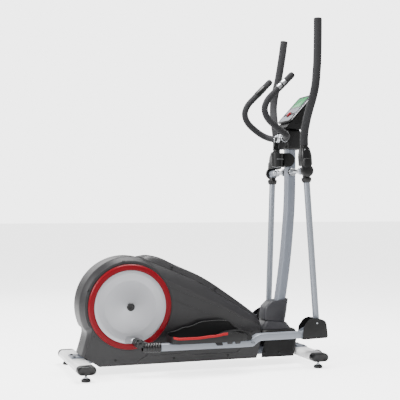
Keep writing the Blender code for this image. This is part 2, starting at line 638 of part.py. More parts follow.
# ---------------------------------------------------------------- swing arms and pedals
def make_swing(side_name, side):
    pivot = bpy.data.objects.new(f"swing_pivot_{side_name}", None)
    pivot.parent = root
    pivot.location = (PIVOT[0], side * SWING_Y, PIVOT[1])
    pivot.rotation_euler = (0, -math.radians(SWING_DEG[side_name]), 0)
    parts.objects.link(pivot)

    hub_low, hub_high = sorted((side * (HUB_IN - SWING_Y), side * (HUB_OUT - SWING_Y)))
    inset = side * (HANDLE_Y - SWING_Y)
    arm = add(rod((0, 0, -SWING_LENGTH), (0, 0, 0), SWING_TUBE_R, sides=16), f"swing_arm_{side_name}",
              GREY_PAINT, pivot)
    join(arm, rod((0, hub_low, 0), (0, hub_high, 0), HUB_R, sides=16),
         rod((0, 0.0175, -SWING_LENGTH), (0, -0.0175, -SWING_LENGTH), LOWER_BUSH_R, sides=16),
         rod((0.008, inset, 0), (0.010, inset, 0.060), HANDLE_R, sides=14))
    cut(arm, rod((0, -0.1, 0), (0, 0.1, 0), AXLE_R + GAP, sides=16),
        rod((0, -0.1, -SWING_LENGTH), (0, 0.1, -SWING_LENGTH), PIN_R + GAP, sides=12),
        rod((0, 0, -SWING_LENGTH + 0.022), (0, 0, -0.006), SWING_TUBE_R - 0.0025, sides=12))

    handle = [(0.010, HANDLE_Y, 0.0605), (0.010, HANDLE_Y, 0.122), (0.011, 0.192, 0.173),
              (0.013, 0.218, 0.230), (0.018, 0.251, 0.288), (0.026, 0.284, 0.346), (0.036, 0.303, 0.403),
              (0.046, 0.303, 0.461), (0.056, 0.297, 0.518), (0.070, 0.291, 0.634), (0.078, 0.288, 0.716)]
    path = [Vector((x, side * (y - SWING_Y), z)) for x, y, z in handle]
    add(tube(path, HANDLE_R, sides=8), f"handle_tube_{side_name}", BLACK, pivot)
    tip = (path[-1] - path[-2]).normalized()
    foam = add(tube([*path[1:-1], path[-1] + tip * 0.006], FOAM_R, sides=10), f"foam_grip_{side_name}",
               FOAM, pivot)
    cut(foam, tube([path[0] - Vector((0, 0, 0.02)), *path[:-1], path[-1] + tip * 0.001],
                   HANDLE_R + 0.0009, sides=8))

    make_pivot_sleeve(side_name, side, pivot, inset)
    bore, narrow, wide = SWING_TUBE_R + GAP, SWING_TUBE_R + 0.002, 0.024
    add(turned([(bore, -0.0190), (narrow, -0.0190), (narrow, -0.0325), (wide, -0.0335), (wide, -0.049),
                (wide - 0.005, -0.057), (bore, -0.057), (bore, -0.0190)], (0, 0, 0), (0, 0, 1), 20),
        f"swing_collar_{side_name}", BLACK, pivot)


def make_pivot_sleeve(side_name, side, pivot, inset):
    """The moulded sleeve over the hub, with the round cap that covers the end of the pivot axle."""
    sleeve_low, sleeve_high = sorted((side * (HUB_IN - SWING_Y), side * (0.2235 - SWING_Y)))
    sleeve = add(box((-0.022, sleeve_low + 0.001, 0.0225), (0.035, sleeve_high, 0.114)),
                 f"pivot_sleeve_{side_name}", BLACK, pivot)
    bevel(sleeve, 0.012, 2)
    cap_low, cap_high = sorted((side * (0.2240 - SWING_Y), side * (0.236 - SWING_Y)))
    link_low, link_high = sorted((side * (0.212 - SWING_Y), side * (0.235 - SWING_Y)))
    join(sleeve, rod((0, cap_low, 0), (0, cap_high, 0), 0.0315, sides=20),
         box((-0.018, link_low, 0.010), (0.020, link_high, 0.050)))
    cut(sleeve, rod((0.008, inset, 0.0), (0.010, inset, 0.0620), HANDLE_R + 0.0006, sides=14),
        rod((0.010, inset - side * 0.001, 0.0600), (0.010, inset - side * 0.002, 0.1200),
            HANDLE_R + 0.0040, sides=14),
        rod((0, -side * 0.1, 0), (0, side * (0.2232 - SWING_Y), 0), HUB_R + 0.003, sides=16),
        rod((0, 0, -0.1), (0, 0, 0.024), SWING_TUBE_R + 0.0008, sides=16))


def arm_outline(centre, height):
    """The side outline of a bent bar from its centre line."""
    upper, lower = [], []
    for i, (s, z) in enumerate(centre):
        before, after = centre[max(i - 1, 0)], centre[min(i + 1, len(centre) - 1)]
        lean = math.atan2(after[1] - before[1], after[0] - before[0])
        upper.append((s - math.sin(lean) * height / 2, z + math.cos(lean) * height / 2))
        lower.append((s + math.sin(lean) * height / 2, z - math.cos(lean) * height / 2))
    return upper + lower[::-1]


def make_pedal_arm(side_name, side):
    """The right arm is modelled in place. The left is the same arm turned to reach its own pin."""
    joint = on_swing(SWING_DEG[side_name], up=-SWING_LENGTH)
    rest = on_swing(RIGHT_SWING_DEG, up=-SWING_LENGTH)
    pin = crank_pin(side)
    pin_at_rest = crank_pin(RIGHT)
    turn = (math.atan2(joint[1] - pin[1], joint[0] - pin[0])
            - math.atan2(rest[1] - pin_at_rest[1], rest[0] - pin_at_rest[0]))
    hinge = bpy.data.objects.new(f"arm_hinge_{side_name}", None)
    hinge.parent = root
    hinge.location = (joint[0], side * SWING_Y, joint[1])
    hinge.rotation_euler = (0, -turn, 0)
    parts.objects.link(hinge)

    def local(points):
        return [(s - rest[0], z - rest[1]) for s, z in points]

    end = local([pin_at_rest])[0]
    spigot_root = 0.3520
    line = local([(spigot_root, 0.132), (0.778, 0.132), (0.802, 0.138), (0.830, 0.154), (0.856, 0.158),
                  (1.088, 0.160)])
    arm = add(plate(arm_outline(line, ARM_HEIGHT), -ARM_WIDTH / 2, ARM_WIDTH / 2), f"pedal_arm_{side_name}",
              GREY_PAINT, hinge)
    spigot = local([(0.262, 0.135), (0.360, 0.132)])
    boss_low, boss_high = sorted((side * (ARM_BOSS_IN - SWING_Y), side * (ARM_BOSS_OUT - SWING_Y)))
    join(arm, rod((spigot[0][0], 0, spigot[0][1]), (spigot[1][0], 0, spigot[1][1]), SPIGOT_R, sides=14),
         cross_rod(end, boss_low, boss_high, ARM_BOSS_R, 16))
    for reach in (-1, 1):
        low, high = sorted((reach * EAR_HALF, reach * (EAR_HALF + EAR_THICK)))
        ear = plate(local([(1.050, 0.150), (1.160, 0.158), (1.168, 0.184), (1.156, 0.206), (1.110, 0.208),
                           (1.050, 0.176)]), low, high)
        join(arm, ear)
    join(arm, cross_rod((0, 0), -EAR_HALF - EAR_THICK - 0.001, EAR_HALF + EAR_THICK + 0.001, PIN_R, 12))
    cut(arm, cross_rod(end, *sorted((side * (0.12 - SWING_Y), side * (0.165 - SWING_Y))), 0.009, 14))

    cover_r, collar_r = ARM_BOSS_R + 0.0045, SPIGOT_R + 0.0085
    cover = add(cross_rod(end, boss_low + 0.002 * (side < 0), boss_high - 0.002 * (side > 0), cover_r, 16),
                f"bearing_cover_{side_name}", RUBBER, hinge)
    collar = local([(0.266, 0.134), (spigot_root - 0.001, 0.132)])
    join(cover, rod((collar[0][0], 0, collar[0][1]), (collar[1][0], 0, collar[1][1]), collar_r, sides=16))
    cut(cover, cross_rod(end, boss_low - 0.02, boss_high + 0.0006, ARM_BOSS_R + 0.0006, 16),
        rod((spigot[0][0] - 0.004, 0, spigot[0][1]), (spigot[1][0], 0, spigot[1][1]), SPIGOT_R + 0.0007,
            sides=14))
    make_pedal(side_name, side, hinge, local)
    make_shoe(side_name, hinge, local)


def make_pedal(side_name, side, hinge, local):
    """A foot tray with a low outer rim and a high inner wall."""
    plan = [(0.395, 0.9, 0.186, 0.186), (0.420, 1.0, 0.182, 0.192), (0.500, 1.0, 0.182, 0.212),
            (0.590, 1.0, 0.188, 0.236), (0.650, 1.0, 0.196, 0.238), (0.700, 0.92, 0.196, 0.234),
            (0.745, 0.80, 0.186, 0.200), (0.770, 0.62, 0.172, 0.172)]
    half, middle, floor = PEDAL_HALF, side * (PEDAL_Y - SWING_Y), PEDAL_FLOOR
    floor_row, rim_row = [], []
    for direction, stations in ((1, plan), (-1, plan[::-1])):
        for s, share, outer, inner in stations:
            (x, low), (_, high) = local([(s, floor), (s, outer if direction > 0 else inner)])
            y = middle + side * direction * half * share
            floor_row.append((x, y - side * direction * 0.006, low))
            rim_row.append((x, y, high))
    bm = bmesh.new()
    rim, edge = ([bm.verts.new(point) for point in row] for row in (rim_row, floor_row))
    for i, j in zip(range(-1, len(rim) - 1), range(len(rim))):
        bm.faces.new((rim[i], rim[j], edge[j], edge[i]))
    base = bm.faces.new(edge)
    bmesh.ops.recalc_face_normals(bm, faces=bm.faces)
    base.normal_update()
    if base.normal.z > 0:
        bmesh.ops.reverse_faces(bm, faces=bm.faces)
    pedal = add(to_mesh(bm), f"pedal_{side_name}", BLACK, hinge)
    thicken(pedal, PEDAL_WALL)


def make_shoe(side_name, hinge, local):
    """The cover of the front joint: two cheeks joined along the front and the bottom."""
    outline = local([(1.052, 0.1385), (1.187, 0.1425), (1.178, 0.212), (1.170, 0.226), (1.146, 0.236),
                     (1.109, 0.242), (1.084, 0.233), (1.058, 0.200)])
    shoe = add(plate(outline, -SHOE_HALF, SHOE_HALF), f"joint_cover_{side_name}", BLACK, hinge)
    hollow = local([(1.000, 0.1405), (1.080, 0.1415), (1.184, 0.1455), (1.176, 0.212), (1.165, 0.260),
                    (1.100, 0.290), (1.000, 0.290)])
    cut(shoe, plate(hollow, -SHOE_INSIDE, SHOE_INSIDE))


make_base()
make_frame()
make_drive()
make_casing()
make_front_covers()
make_mast()
make_cockpit()
for side_name, side in SIDES.items():
    make_swing(side_name, side)
    make_pedal_arm(side_name, side)
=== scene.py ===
"""Elliptical cross trainer: the finished surfaces, grips and small parts round its working frame.

Metres, +Z up, +X forward to the mast, +Y to the user's left. `s` is a length forward of the rear
stabiliser, and a piece of an arm is drawn in that arm's own frame and then carried to its place.
"""
import json
import math

import bmesh
import bpy
from mathutils import Matrix, Vector


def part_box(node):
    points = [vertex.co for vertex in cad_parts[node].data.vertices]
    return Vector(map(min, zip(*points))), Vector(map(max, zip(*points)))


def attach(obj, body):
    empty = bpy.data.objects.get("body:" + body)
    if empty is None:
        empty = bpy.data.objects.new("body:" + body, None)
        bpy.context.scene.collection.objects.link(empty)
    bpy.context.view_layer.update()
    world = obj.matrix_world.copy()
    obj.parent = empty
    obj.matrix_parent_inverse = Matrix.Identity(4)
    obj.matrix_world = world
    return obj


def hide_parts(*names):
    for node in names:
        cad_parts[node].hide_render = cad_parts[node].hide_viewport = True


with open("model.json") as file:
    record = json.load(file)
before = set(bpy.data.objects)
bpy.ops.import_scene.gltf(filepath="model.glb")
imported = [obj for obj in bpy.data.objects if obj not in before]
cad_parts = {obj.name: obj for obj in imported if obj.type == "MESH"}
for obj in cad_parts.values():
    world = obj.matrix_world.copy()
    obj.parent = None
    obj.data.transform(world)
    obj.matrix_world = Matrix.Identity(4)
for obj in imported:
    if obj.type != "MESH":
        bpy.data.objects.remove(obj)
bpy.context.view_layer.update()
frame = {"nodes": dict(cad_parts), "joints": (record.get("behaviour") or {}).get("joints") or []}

# ---------------------------------------------------------------- places, read from the frame
SIDES = {"right": -1, "left": 1}
JOINT = {joint["name"]: Vector(joint["pos_m"]) for joint in frame["joints"] if "pos_m" in joint}
REAR_X = sum(corner.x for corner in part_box("rear_stabiliser")) / 2
PIVOT_Z = JOINT["right_swing"].z
SWING_Y = JOINT["left_swing"].y
CRANK_AT, FLYWHEEL_AT = JOINT["crank_spin"], JOINT["flywheel_spin"]
CRANK = (CRANK_AT.x - REAR_X, CRANK_AT.z)
CRANK_R, CRANK_LEAD = 0.160, math.radians(6.5)
SWING_LENGTH = (JOINT["right_pedal_arm"] - JOINT["right_swing"]).length


def swing_frame(name):
    """Where a swing arm's own frame lies: its origin on the pivot's axis at y = 0, -Z down the tube."""
    pivot, lower = JOINT[f"{name}_swing"], JOINT[f"{name}_pedal_arm"]
    lean = math.atan2(lower.x - pivot.x, pivot.z - lower.z)
    return Matrix.Translation((pivot.x, 0, pivot.z)) @ Matrix.Rotation(-lean, 4, "Y")


def crank_pin(side):
    return Vector((CRANK_AT.x - side * CRANK_R * math.sin(CRANK_LEAD), 0,
                   CRANK_AT.z + side * CRANK_R * math.cos(CRANK_LEAD)))


def slope_to_pin(name):
    reach = JOINT[f"{name}_pedal_arm"] - crank_pin(SIDES[name])
    return math.atan2(reach.z, reach.x)


def arm_frame(name):
    """Where a pedal arm's own frame lies. Both arms are drawn as the right one lies."""
    turn = slope_to_pin(name) - slope_to_pin("right")
    joint = JOINT[f"{name}_pedal_arm"]
    return Matrix.Translation((joint.x, 0, joint.z)) @ Matrix.Rotation(-turn, 4, "Y")


ARM_ORIGIN = (JOINT["right_pedal_arm"].x - REAR_X, JOINT["right_pedal_arm"].z)


def on_arm(s, y, z):
    """A point of the right arm, given along the machine, in the arm's own frame."""
    return Vector((s - ARM_ORIGIN[0], y, z - ARM_ORIGIN[1]))


def at(s, y, z):
    return Vector((s + REAR_X, y, z))


# ---------------------------------------------------------------- materials
def linear(hex_colour):
    """The linear colour of an sRGB hex value."""
    levels = [int(hex_colour[i:i + 2], 16) / 255 for i in (1, 3, 5)]
    return [*(c / 12.92 if c <= 0.04045 else ((c + 0.055) / 1.055) ** 2.4 for c in levels), 1.0]


def node(tree, kind, inputs=(), **settings):
    """Adds a node. Each of its inputs takes a value, or the output socket that feeds it."""
    made = tree.nodes.new(kind)
    for name, value in settings.items():
        setattr(made, name, value)
    for name, value in dict(inputs).items():
        if isinstance(value, bpy.types.NodeSocket):
            tree.links.new(value, made.inputs[name])
        else:
            made.inputs[name].default_value = value
    return made


def shade(hex_colour, share):
    """A colour made darker or lighter by a share."""
    return [*(min(1.0, c * share) for c in linear(hex_colour)[:3]), 1.0]


def finish(name, colour, roughness, grain_mm, depth_mm, patch_mm=60.0, tone=0.08, spread=0.05,
           stretch=(1, 1, 1), pores=False, **sockets):
    """A surface with a fine grain and slow changes of tone and gloss. Sizes are in millimetres."""
    made = bpy.data.materials.new(name)
    made.use_nodes = True
    tree = made.node_tree
    shader = tree.nodes["Principled BSDF"]
    for socket, value in sockets.items():
        shader.inputs[socket.replace("_", " ")].default_value = value
    place = node(tree, "ShaderNodeTexCoord").outputs["Object"]
    patches = node(tree, "ShaderNodeTexNoise", {"Vector": place, "Scale": 1000 / patch_mm, "Detail": 4.0,
                                                "Roughness": 0.6})
    grained = node(tree, "ShaderNodeMapping", {"Vector": place, "Scale": stretch})
    if pores:
        grain = node(tree, "ShaderNodeTexVoronoi", {"Vector": grained.outputs["Vector"],
                                                    "Scale": 1000 / grain_mm}).outputs["Distance"]
    else:
        grain = node(tree, "ShaderNodeTexNoise",
                     {"Vector": grained.outputs["Vector"], "Scale": 1000 / grain_mm,
                                                  "Detail": 3.0, "Roughness": 0.55}).outputs["Fac"]
    tint = node(tree, "ShaderNodeMix", {"Factor": patches.outputs["Fac"]}, data_type="RGBA")
    tint.inputs[6].default_value = shade(colour, 1 - tone)
    tint.inputs[7].default_value = shade(colour, 1 + tone)
    fine = node(tree, "ShaderNodeMix", {"Factor": grain}, data_type="RGBA", blend_type="MULTIPLY")
    tree.links.new(tint.outputs[2], fine.inputs[6])
    fine.inputs[7].default_value = [1 - 1.2 * tone] * 3 + [1.0]
    gloss = node(tree, "ShaderNodeMapRange",
                 {"Value": patches.outputs["Fac"], "From Min": 0.3, "From Max": 0.7,
                                              "To Min": roughness - spread, "To Max": roughness + spread})
    relief = node(tree, "ShaderNodeBump", {"Height": grain, "Strength": 0.6, "Distance": depth_mm / 1000})
    tree.links.new(fine.outputs[2], shader.inputs["Base Color"])
    tree.links.new(gloss.outputs["Result"], shader.inputs["Roughness"])
    tree.links.new(relief.outputs["Normal"], shader.inputs["Normal"])
    return made


# Charcoal ABS mouldings: an even spark-eroded grain that breaks up the highlight. The real grain
# is about 0.3 mm, and is drawn at 1.4 mm so that it shows.
CASING_ABS = finish("charcoal_moulded_abs", "#1b1a1c", 0.42, 1.4, 0.10, patch_mm=180, tone=0.05)
# The mast's boots: the same resin as the casing with a finer grain, painted paler than the casing as painted
# light that lifts their shaded faces.
LIT_BOOT_ABS = finish("graphite_boot_abs_painted_paler", "#313135", 0.38, 1.2, 0.08, patch_mm=90, tone=0.06)
# Black ABS with a satin face from a polished tool.
BLACK_ABS = finish("black_satin_abs", "#080809", 0.34, 1.2, 0.05, tone=0.10, Specular_IOR_Level=0.4)
# Glass-filled nylon of the pedals: blacker and rougher than the covers.
PEDAL_NYLON = finish("pedal_glass_filled_nylon", "#0b0b0c", 0.52, 1.8, 0.18, patch_mm=40, tone=0.12,
                     Specular_IOR_Level=0.3)
# Red ABS rings under a clear lacquer, so a sharp highlight over a deep colour.
RED_ABS = finish("red_lacquered_abs", "#70000f", 0.40, 2.0, 0.02, tone=0.05, Specular_IOR_Level=0.12,
                 Coat_Weight=0.12, Coat_Roughness=0.12)
# Soft red over-moulding on the pedal's rim: chalkier than the rings.
RED_RUBBER = finish("red_overmoulded_rubber", "#98000e", 0.55, 1.5, 0.08, tone=0.06, Specular_IOR_Level=0.25)
# Silver lacquer on ABS: fine aluminium flakes give a soft, pale sheen.
SILVER_LACQUER = finish("silver_lacquered_abs", "#a8a9ad", 0.40, 1.6, 0.02, patch_mm=220, tone=0.03,
                        Metallic=0.55,
                        Coat_Weight=0.25, Coat_Roughness=0.2)
# Pale powder coat on the floor tubes: a slight orange peel, 2 to 4 mm across.
PALE_COAT = finish("pale_powder_coat", "#f2f2f2", 0.34, 3.0, 0.06, tone=0.03, Coat_Weight=0.3,
                   Coat_Roughness=0.15)
# Metallic grey powder coat on the mast and arms.
GREY_COAT = finish("silver_grey_powder_coat", "#787d87", 0.38, 2.4, 0.05, patch_mm=150, tone=0.04,
                   Metallic=0.3)
# Brighter silver on the moving tubes than on the mast.
SILVER_TUBE = finish("silver_powder_coat", "#82878f", 0.36, 2.4, 0.04, patch_mm=150, tone=0.03, Metallic=0.3)
# Black powder coat where a bare tube meets a moulding.
BLACK_COAT = finish("black_powder_coat", "#141415", 0.40, 2.4, 0.06, tone=0.08)
# Closed-cell NBR foam: dull, with pores about 0.5 mm across, drawn at 2.2 mm so that they show.
FOAM = finish("black_closed_cell_foam", "#232325", 0.86, 2.2, 0.25, patch_mm=30, tone=0.16, pores=True,
              Sheen_Weight=0.08, Sheen_Roughness=0.5, Specular_IOR_Level=0.3)
# Moulded rubber of the tyres, feet and belt: matt, with a dusty mottle.
RUBBER = finish("black_moulded_rubber", "#1b1b1c", 0.72, 1.6, 0.12, patch_mm=30, tone=0.12)
# Bright zinc on fasteners and pins, and brushed stainless on the hand sensors.
ZINC = finish("bright_zinc_plate", "#c9ccd0", 0.28, 1.5, 0.02, tone=0.04, Metallic=1.0)
BRUSHED_STEEL = finish("brushed_stainless", "#c6c8cb", 0.26, 1.2, 0.03, tone=0.05, stretch=(1, 0.06, 1),
                       Metallic=1.0)
# The flywheel and the magnet: a coarse, dark skin as cast.
CAST_IRON = finish("cast_iron", "#3a3a3c", 0.62, 2.0, 0.25, patch_mm=25, tone=0.15, Metallic=0.85)
# The display: a green-grey liquid crystal cell behind clear acrylic.
DISPLAY = finish("display_behind_acrylic", "#1f7a45", 0.30, 4.0, 0.01, tone=0.06, Coat_Weight=0.4,
                 Coat_Roughness=0.04)
# Polished black acrylic round the display.
GLOSS_BLACK = finish("gloss_black_acrylic", "#0c0c0d", 0.12, 4.0, 0.01, tone=0.05, Coat_Weight=0.5)
# Silver ink on the film that covers the console's face.
GREY_LABEL = finish("silver_printed_film", "#7c7f86", 0.38, 1.2, 0.02, tone=0.05, Metallic=0.3)

# The four inner nodes that stay as they are, dressed in their own finishes.
for name, finish_of in (("brake_magnet", CAST_IRON), ("drive_belt", RUBBER), ("crank_axle", ZINC),
                        ("flywheel_axle", ZINC)):
    frame["nodes"][name].data.materials.clear()
    frame["nodes"][name].data.materials.append(finish_of)


# ---------------------------------------------------------------- shaping
def mesh_from(bm, matrix=None):
    bmesh.ops.recalc_face_normals(bm, faces=bm.faces)
    mesh = bpy.data.meshes.new("shape")
    bm.to_mesh(mesh)
    bm.free()
    if matrix:
        mesh.transform(matrix)
    return mesh


def softened(points, reach, steps=4, closed=True):
    """The line with each corner replaced by a curve that starts `reach` before it."""
    points = [Vector(point) for point in points]
    line = []
    for i, corner in enumerate(points):
        if not closed and i in (0, len(points) - 1):
            line.append(corner)
            continue
        back, ahead = points[i - 1] - corner, points[(i + 1) % len(points)] - corner
        cut = min(reach, back.length * 0.45, ahead.length * 0.45)
        start, end = corner + back.normalized() * cut, corner + ahead.normalized() * cut
        for step in range(steps + 1):
            t = step / steps
            line.append(start * (1 - t) ** 2 + corner * 2 * t * (1 - t) + end * t * t)
    return line


def smooth_path(points, steps=6):
    """Points of a Catmull-Rom curve through the given ones."""
    points = [Vector(point) for point in points]
    ends = [2 * points[0] - points[1], *points, 2 * points[-1] - points[-2]]
    path = []
    for before, here, after, last in zip(ends, ends[1:], ends[2:], ends[3:]):
        for step in range(steps):
            t = step / steps
            path.append(0.5 * (2 * here + (after - before) * t
                               + (2 * before - 5 * here + 4 * after - last) * t * t
                               + (3 * here - before - 3 * after + last) * t ** 3))
    return [*path, points[-1]]


def ring_of(radius, sides=40):
    turns = [2 * math.pi * i / sides for i in range(sides)]
    return [(radius * math.cos(turn), radius * math.sin(turn)) for turn in turns]


def bridge(bm, rings, caps=True):
    """Faces between rings of points, and one face over each end."""
    for row, after in zip(rings, rings[1:]):
        for i in range(len(row)):
            j = (i + 1) % len(row)
            bm.faces.new((row[i], row[j], after[j], after[i]))
    if caps:
        bm.faces.new(rings[0])
        bm.faces.new(rings[-1])


def loft(sections):
    bm = bmesh.new()
    bridge(bm, [[bm.verts.new(point) for point in section] for section in sections])
    return mesh_from(bm)


def sweep(path, section, sizes=None, side=(0, 1, 0)):
    """A bar whose section follows a path. `sizes` scales the section at each point of the path."""
    path, across = [Vector(point) for point in path], Vector(side)
    bm = bmesh.new()
    rings = []
    for i, place in enumerate(path):
        ahead = (path[min(i + 1, len(path) - 1)] - path[max(i - 1, 0)]).normalized()
        across = (across - across.dot(ahead) * ahead).normalized()
        up = ahead.cross(across)
        size = sizes[i] if sizes else 1.0
        rings.append([bm.verts.new(place + (across * x + up * y) * size) for x, y in section])
    bridge(bm, rings)
    return mesh_from(bm)


def tube(path, radius, edge=0.001, sides=40, side=(0, 1, 0.01)):
    """A round bar along a path, with its two ends rounded by `edge`."""
    path = [Vector(point) for point in path]
    first, last = (path[1] - path[0]).normalized(), (path[-2] - path[-1]).normalized()
    arc = [math.radians(angle) for angle in (0, 30, 60, 90)]
    lead = [(path[0] + first * edge * (1 - math.cos(a)), 1 - edge * (1 - math.sin(a)) / radius) for a in arc]
    tail = [(path[-1] + last * edge * (1 - math.cos(a)), 1 - edge * (1 - math.sin(a)) / radius) for a in arc]
    line = [*lead, *((point, 1.0) for point in path[1:-1]), *reversed(tail)]
    return sweep([point for point, _ in line], ring_of(radius, sides), [size for _, size in line], side)


def turned(profile, centre=(0, 0, 0), axis=(0, 1, 0), sides=72):
    """A turned piece, from (radius, height) points. A profile that ends where it starts is a ring."""
    bm = bmesh.new()
    closed = profile[0] == profile[-1]
    rows = []
    for radius, height in profile[:-1] if closed else profile:
        around = [(0, 0)] if radius < 1e-6 else ring_of(radius, sides)
        rows.append([bm.verts.new((x, y, height)) for x, y in around])
    for row, after in zip(rows, rows[1:] + rows[:1] if closed else rows[1:]):
        for i in range(sides):
            j = (i + 1) % sides
            corners = [row[i % len(row)], row[j % len(row)], after[j % len(after)], after[i % len(after)]]
            corners = list(dict.fromkeys(corners))
            if len(corners) > 2:
                bm.faces.new(corners)
    turn = Vector(axis).to_track_quat("Z", "Y").to_matrix().to_4x4()
    return mesh_from(bm, Matrix.Translation(centre) @ turn)


def plate(outline, low, high, edge=0.0, steps=3):
    """A flat (x, z) outline given a thickness in y, with its rims rounded by `edge`."""
    bm = bmesh.new()
    rows = [[bm.verts.new((point[0], y, point[1])) for point in outline] for y in (low, high)]
    bridge(bm, rows)
    if edge:
        rims = [e for e in bm.edges if abs(e.verts[0].co.y - e.verts[1].co.y) < 1e-9]
        bmesh.ops.bevel(bm, geom=rims, offset=edge, segments=steps, profile=0.5, affect="EDGES")
    return mesh_from(bm)


def block(low, high, edge=0.002, steps=3):
    """A box between two corners with rounded edges."""
    low, high = Vector(low), Vector(high)
    bm = bmesh.new()
    bmesh.ops.create_cube(bm, size=1.0, matrix=Matrix.Translation((low + high) / 2)
                          @ Matrix.Diagonal((*(high - low), 1.0)))
    bmesh.ops.bevel(bm, geom=bm.edges[:], offset=edge, segments=steps, profile=0.5, affect="EDGES")
    return mesh_from(bm)


def rod(start, end, radius, edge=0.0008, sides=40):
    start, end = Vector(start), Vector(end)
    lean = Vector((0, 1, 0)) if abs((end - start).normalized().y) < 0.9 else Vector((1, 0, 0))
    return tube([start, start.lerp(end, 0.5), end], radius, edge, sides, lean)


def merged(*meshes):
    """One mesh that holds several closed shapes."""
    bm = bmesh.new()
    for mesh in meshes:
        bm.from_mesh(mesh)
        bpy.data.meshes.remove(mesh)
    mesh = bpy.data.meshes.new("shape")
    bm.to_mesh(mesh)
    bm.free()
    return mesh


def helper(mesh):
    made = bpy.data.objects.new("helper", mesh)
    bpy.context.scene.collection.objects.link(made)
    return made


def evaluated(holder, *others):
    """The mesh that an object's modifiers make. The object and its helpers are removed."""
    bpy.context.view_layer.update()
    graph = bpy.context.evaluated_depsgraph_get()
    mesh = bpy.data.meshes.new_from_object(holder.evaluated_get(graph))
    for spent in (holder, *others):
        bpy.data.objects.remove(spent)
    return mesh


def carved(mesh, *cutters, operation="DIFFERENCE"):
    """The mesh with closed shapes cut out of it, or joined to it."""
    holder = helper(mesh)
    tools = [helper(cutter) for cutter in cutters]
    for tool in tools:
        step = holder.modifiers.new("Cut", "BOOLEAN")
        step.operation, step.solver, step.object = operation, "EXACT", tool
    return evaluated(holder, *tools)


def walled(mesh, wall):
    """An open surface given a wall on its inner side."""
    holder = helper(mesh)
    step = holder.modifiers.new("Wall", "SOLIDIFY")
    step.thickness, step.offset, step.use_even_offset = wall, -1, True
    return evaluated(holder)


def piece(name, mesh, material, body, slot, *replaced, place=None, sharp=32):
    """A finished piece on its body. `place` carries it from an arm's own frame."""
    if place:
        mesh.transform(place)
    mesh.materials.clear()
    mesh.materials.append(material)
    mesh.shade_smooth()
    mesh.set_sharp_from_angle(angle=math.radians(sharp))
    made = bpy.data.objects.new(name, mesh)
    bpy.context.scene.collection.objects.link(made)
    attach(made, body)
    if replaced:
        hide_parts(*replaced)
    return made


# ---------------------------------------------------------------- the geometry tree for screws
def new_tree(name, inputs):
    """A geometry tree with its named inputs, and its group input and output nodes."""
    tree = bpy.data.node_groups.new(name, "GeometryNodeTree")
    tree.interface.new_socket("Geometry", in_out="OUTPUT", socket_type="NodeSocketGeometry")
    for label, kind, value in inputs:
        socket = tree.interface.new_socket(label, in_out="INPUT", socket_type=kind)
        if value is not None:
            socket.default_value = value
    return tree, tree.nodes.new("NodeGroupInput"), tree.nodes.new("NodeGroupOutput")


def close_tree(tree, instances, given, out):
    """Makes the copies real, gives them the material and sends them to the output."""
    real = node(tree, "GeometryNodeRealizeInstances", {"Geometry": instances})
    dressed = node(tree, "GeometryNodeSetMaterial", {"Geometry": real.outputs["Geometry"],
                                                     "Material": given.outputs["Material"]})
    tree.links.new(dressed.outputs["Geometry"], out.inputs["Geometry"])


def make_screw_tree():
    """Cross-head screws on points: a low cylinder with two crossed slots, turned to each point's aim."""
    tree, given, out = new_tree("cross_head_screws", [
        ("Points", "NodeSocketGeometry", None), ("Head Radius", "NodeSocketFloat", 0.004),
        ("Head Height", "NodeSocketFloat", 0.003), ("Material", "NodeSocketMaterial", None)])
    radius, height = given.outputs["Head Radius"], given.outputs["Head Height"]
    head = node(tree, "GeometryNodeMeshCylinder", {"Vertices": 24, "Radius": radius, "Depth": height})
    crown_r = node(tree, "ShaderNodeMath", {0: radius, 1: 0.72}, operation="MULTIPLY")
    crown = node(tree, "GeometryNodeMeshCone", {"Vertices": 24, "Radius Top": crown_r.outputs[0],
                                                "Radius Bottom": radius, "Depth": height})
    lift = node(tree, "ShaderNodeCombineXYZ", {"Z": height})
    raised = node(tree, "GeometryNodeTransform", {"Geometry": crown.outputs["Mesh"],
                                                  "Translation": lift.outputs["Vector"],
                                                  "Scale": (1, 1, 0.5)})
    long_side = node(tree, "ShaderNodeMath", {0: radius, 1: 1.1}, operation="MULTIPLY")
    short_side = node(tree, "ShaderNodeMath", {0: radius, 1: 0.26}, operation="MULTIPLY")
    slots = node(tree, "GeometryNodeJoinGeometry")
    for x, y in ((long_side, short_side), (short_side, long_side)):
        size = node(tree, "ShaderNodeCombineXYZ", {"X": x.outputs[0], "Y": y.outputs[0], "Z": height})
        bar = node(tree, "GeometryNodeMeshCube", {"Size": size.outputs["Vector"]})
        placed = node(tree, "GeometryNodeTransform", {"Geometry": bar.outputs["Mesh"],
                                                      "Translation": lift.outputs["Vector"]})
        tree.links.new(placed.outputs["Geometry"], slots.inputs["Geometry"])
    whole = node(tree, "GeometryNodeMeshBoolean", {"Mesh 2": head.outputs["Mesh"]}, operation="UNION")
    tree.links.new(raised.outputs["Geometry"], whole.inputs["Mesh 2"])
    slotted = node(tree, "GeometryNodeMeshBoolean", {"Mesh 1": whole.outputs["Mesh"],
                                                     "Mesh 2": slots.outputs["Geometry"]})
    aim = node(tree, "GeometryNodeInputNamedAttribute", {"Name": "aim"}, data_type="FLOAT_VECTOR")
    turn = node(tree, "FunctionNodeAlignRotationToVector", {"Vector": aim.outputs[0]}, axis="Z")
    copies = node(tree, "GeometryNodeInstanceOnPoints", {
        "Points": given.outputs["Points"], "Instance": slotted.outputs["Mesh"],
        "Rotation": turn.outputs["Rotation"]})
    close_tree(tree, copies.outputs["Instances"], given, out)
    return tree


SCREWS = make_screw_tree()


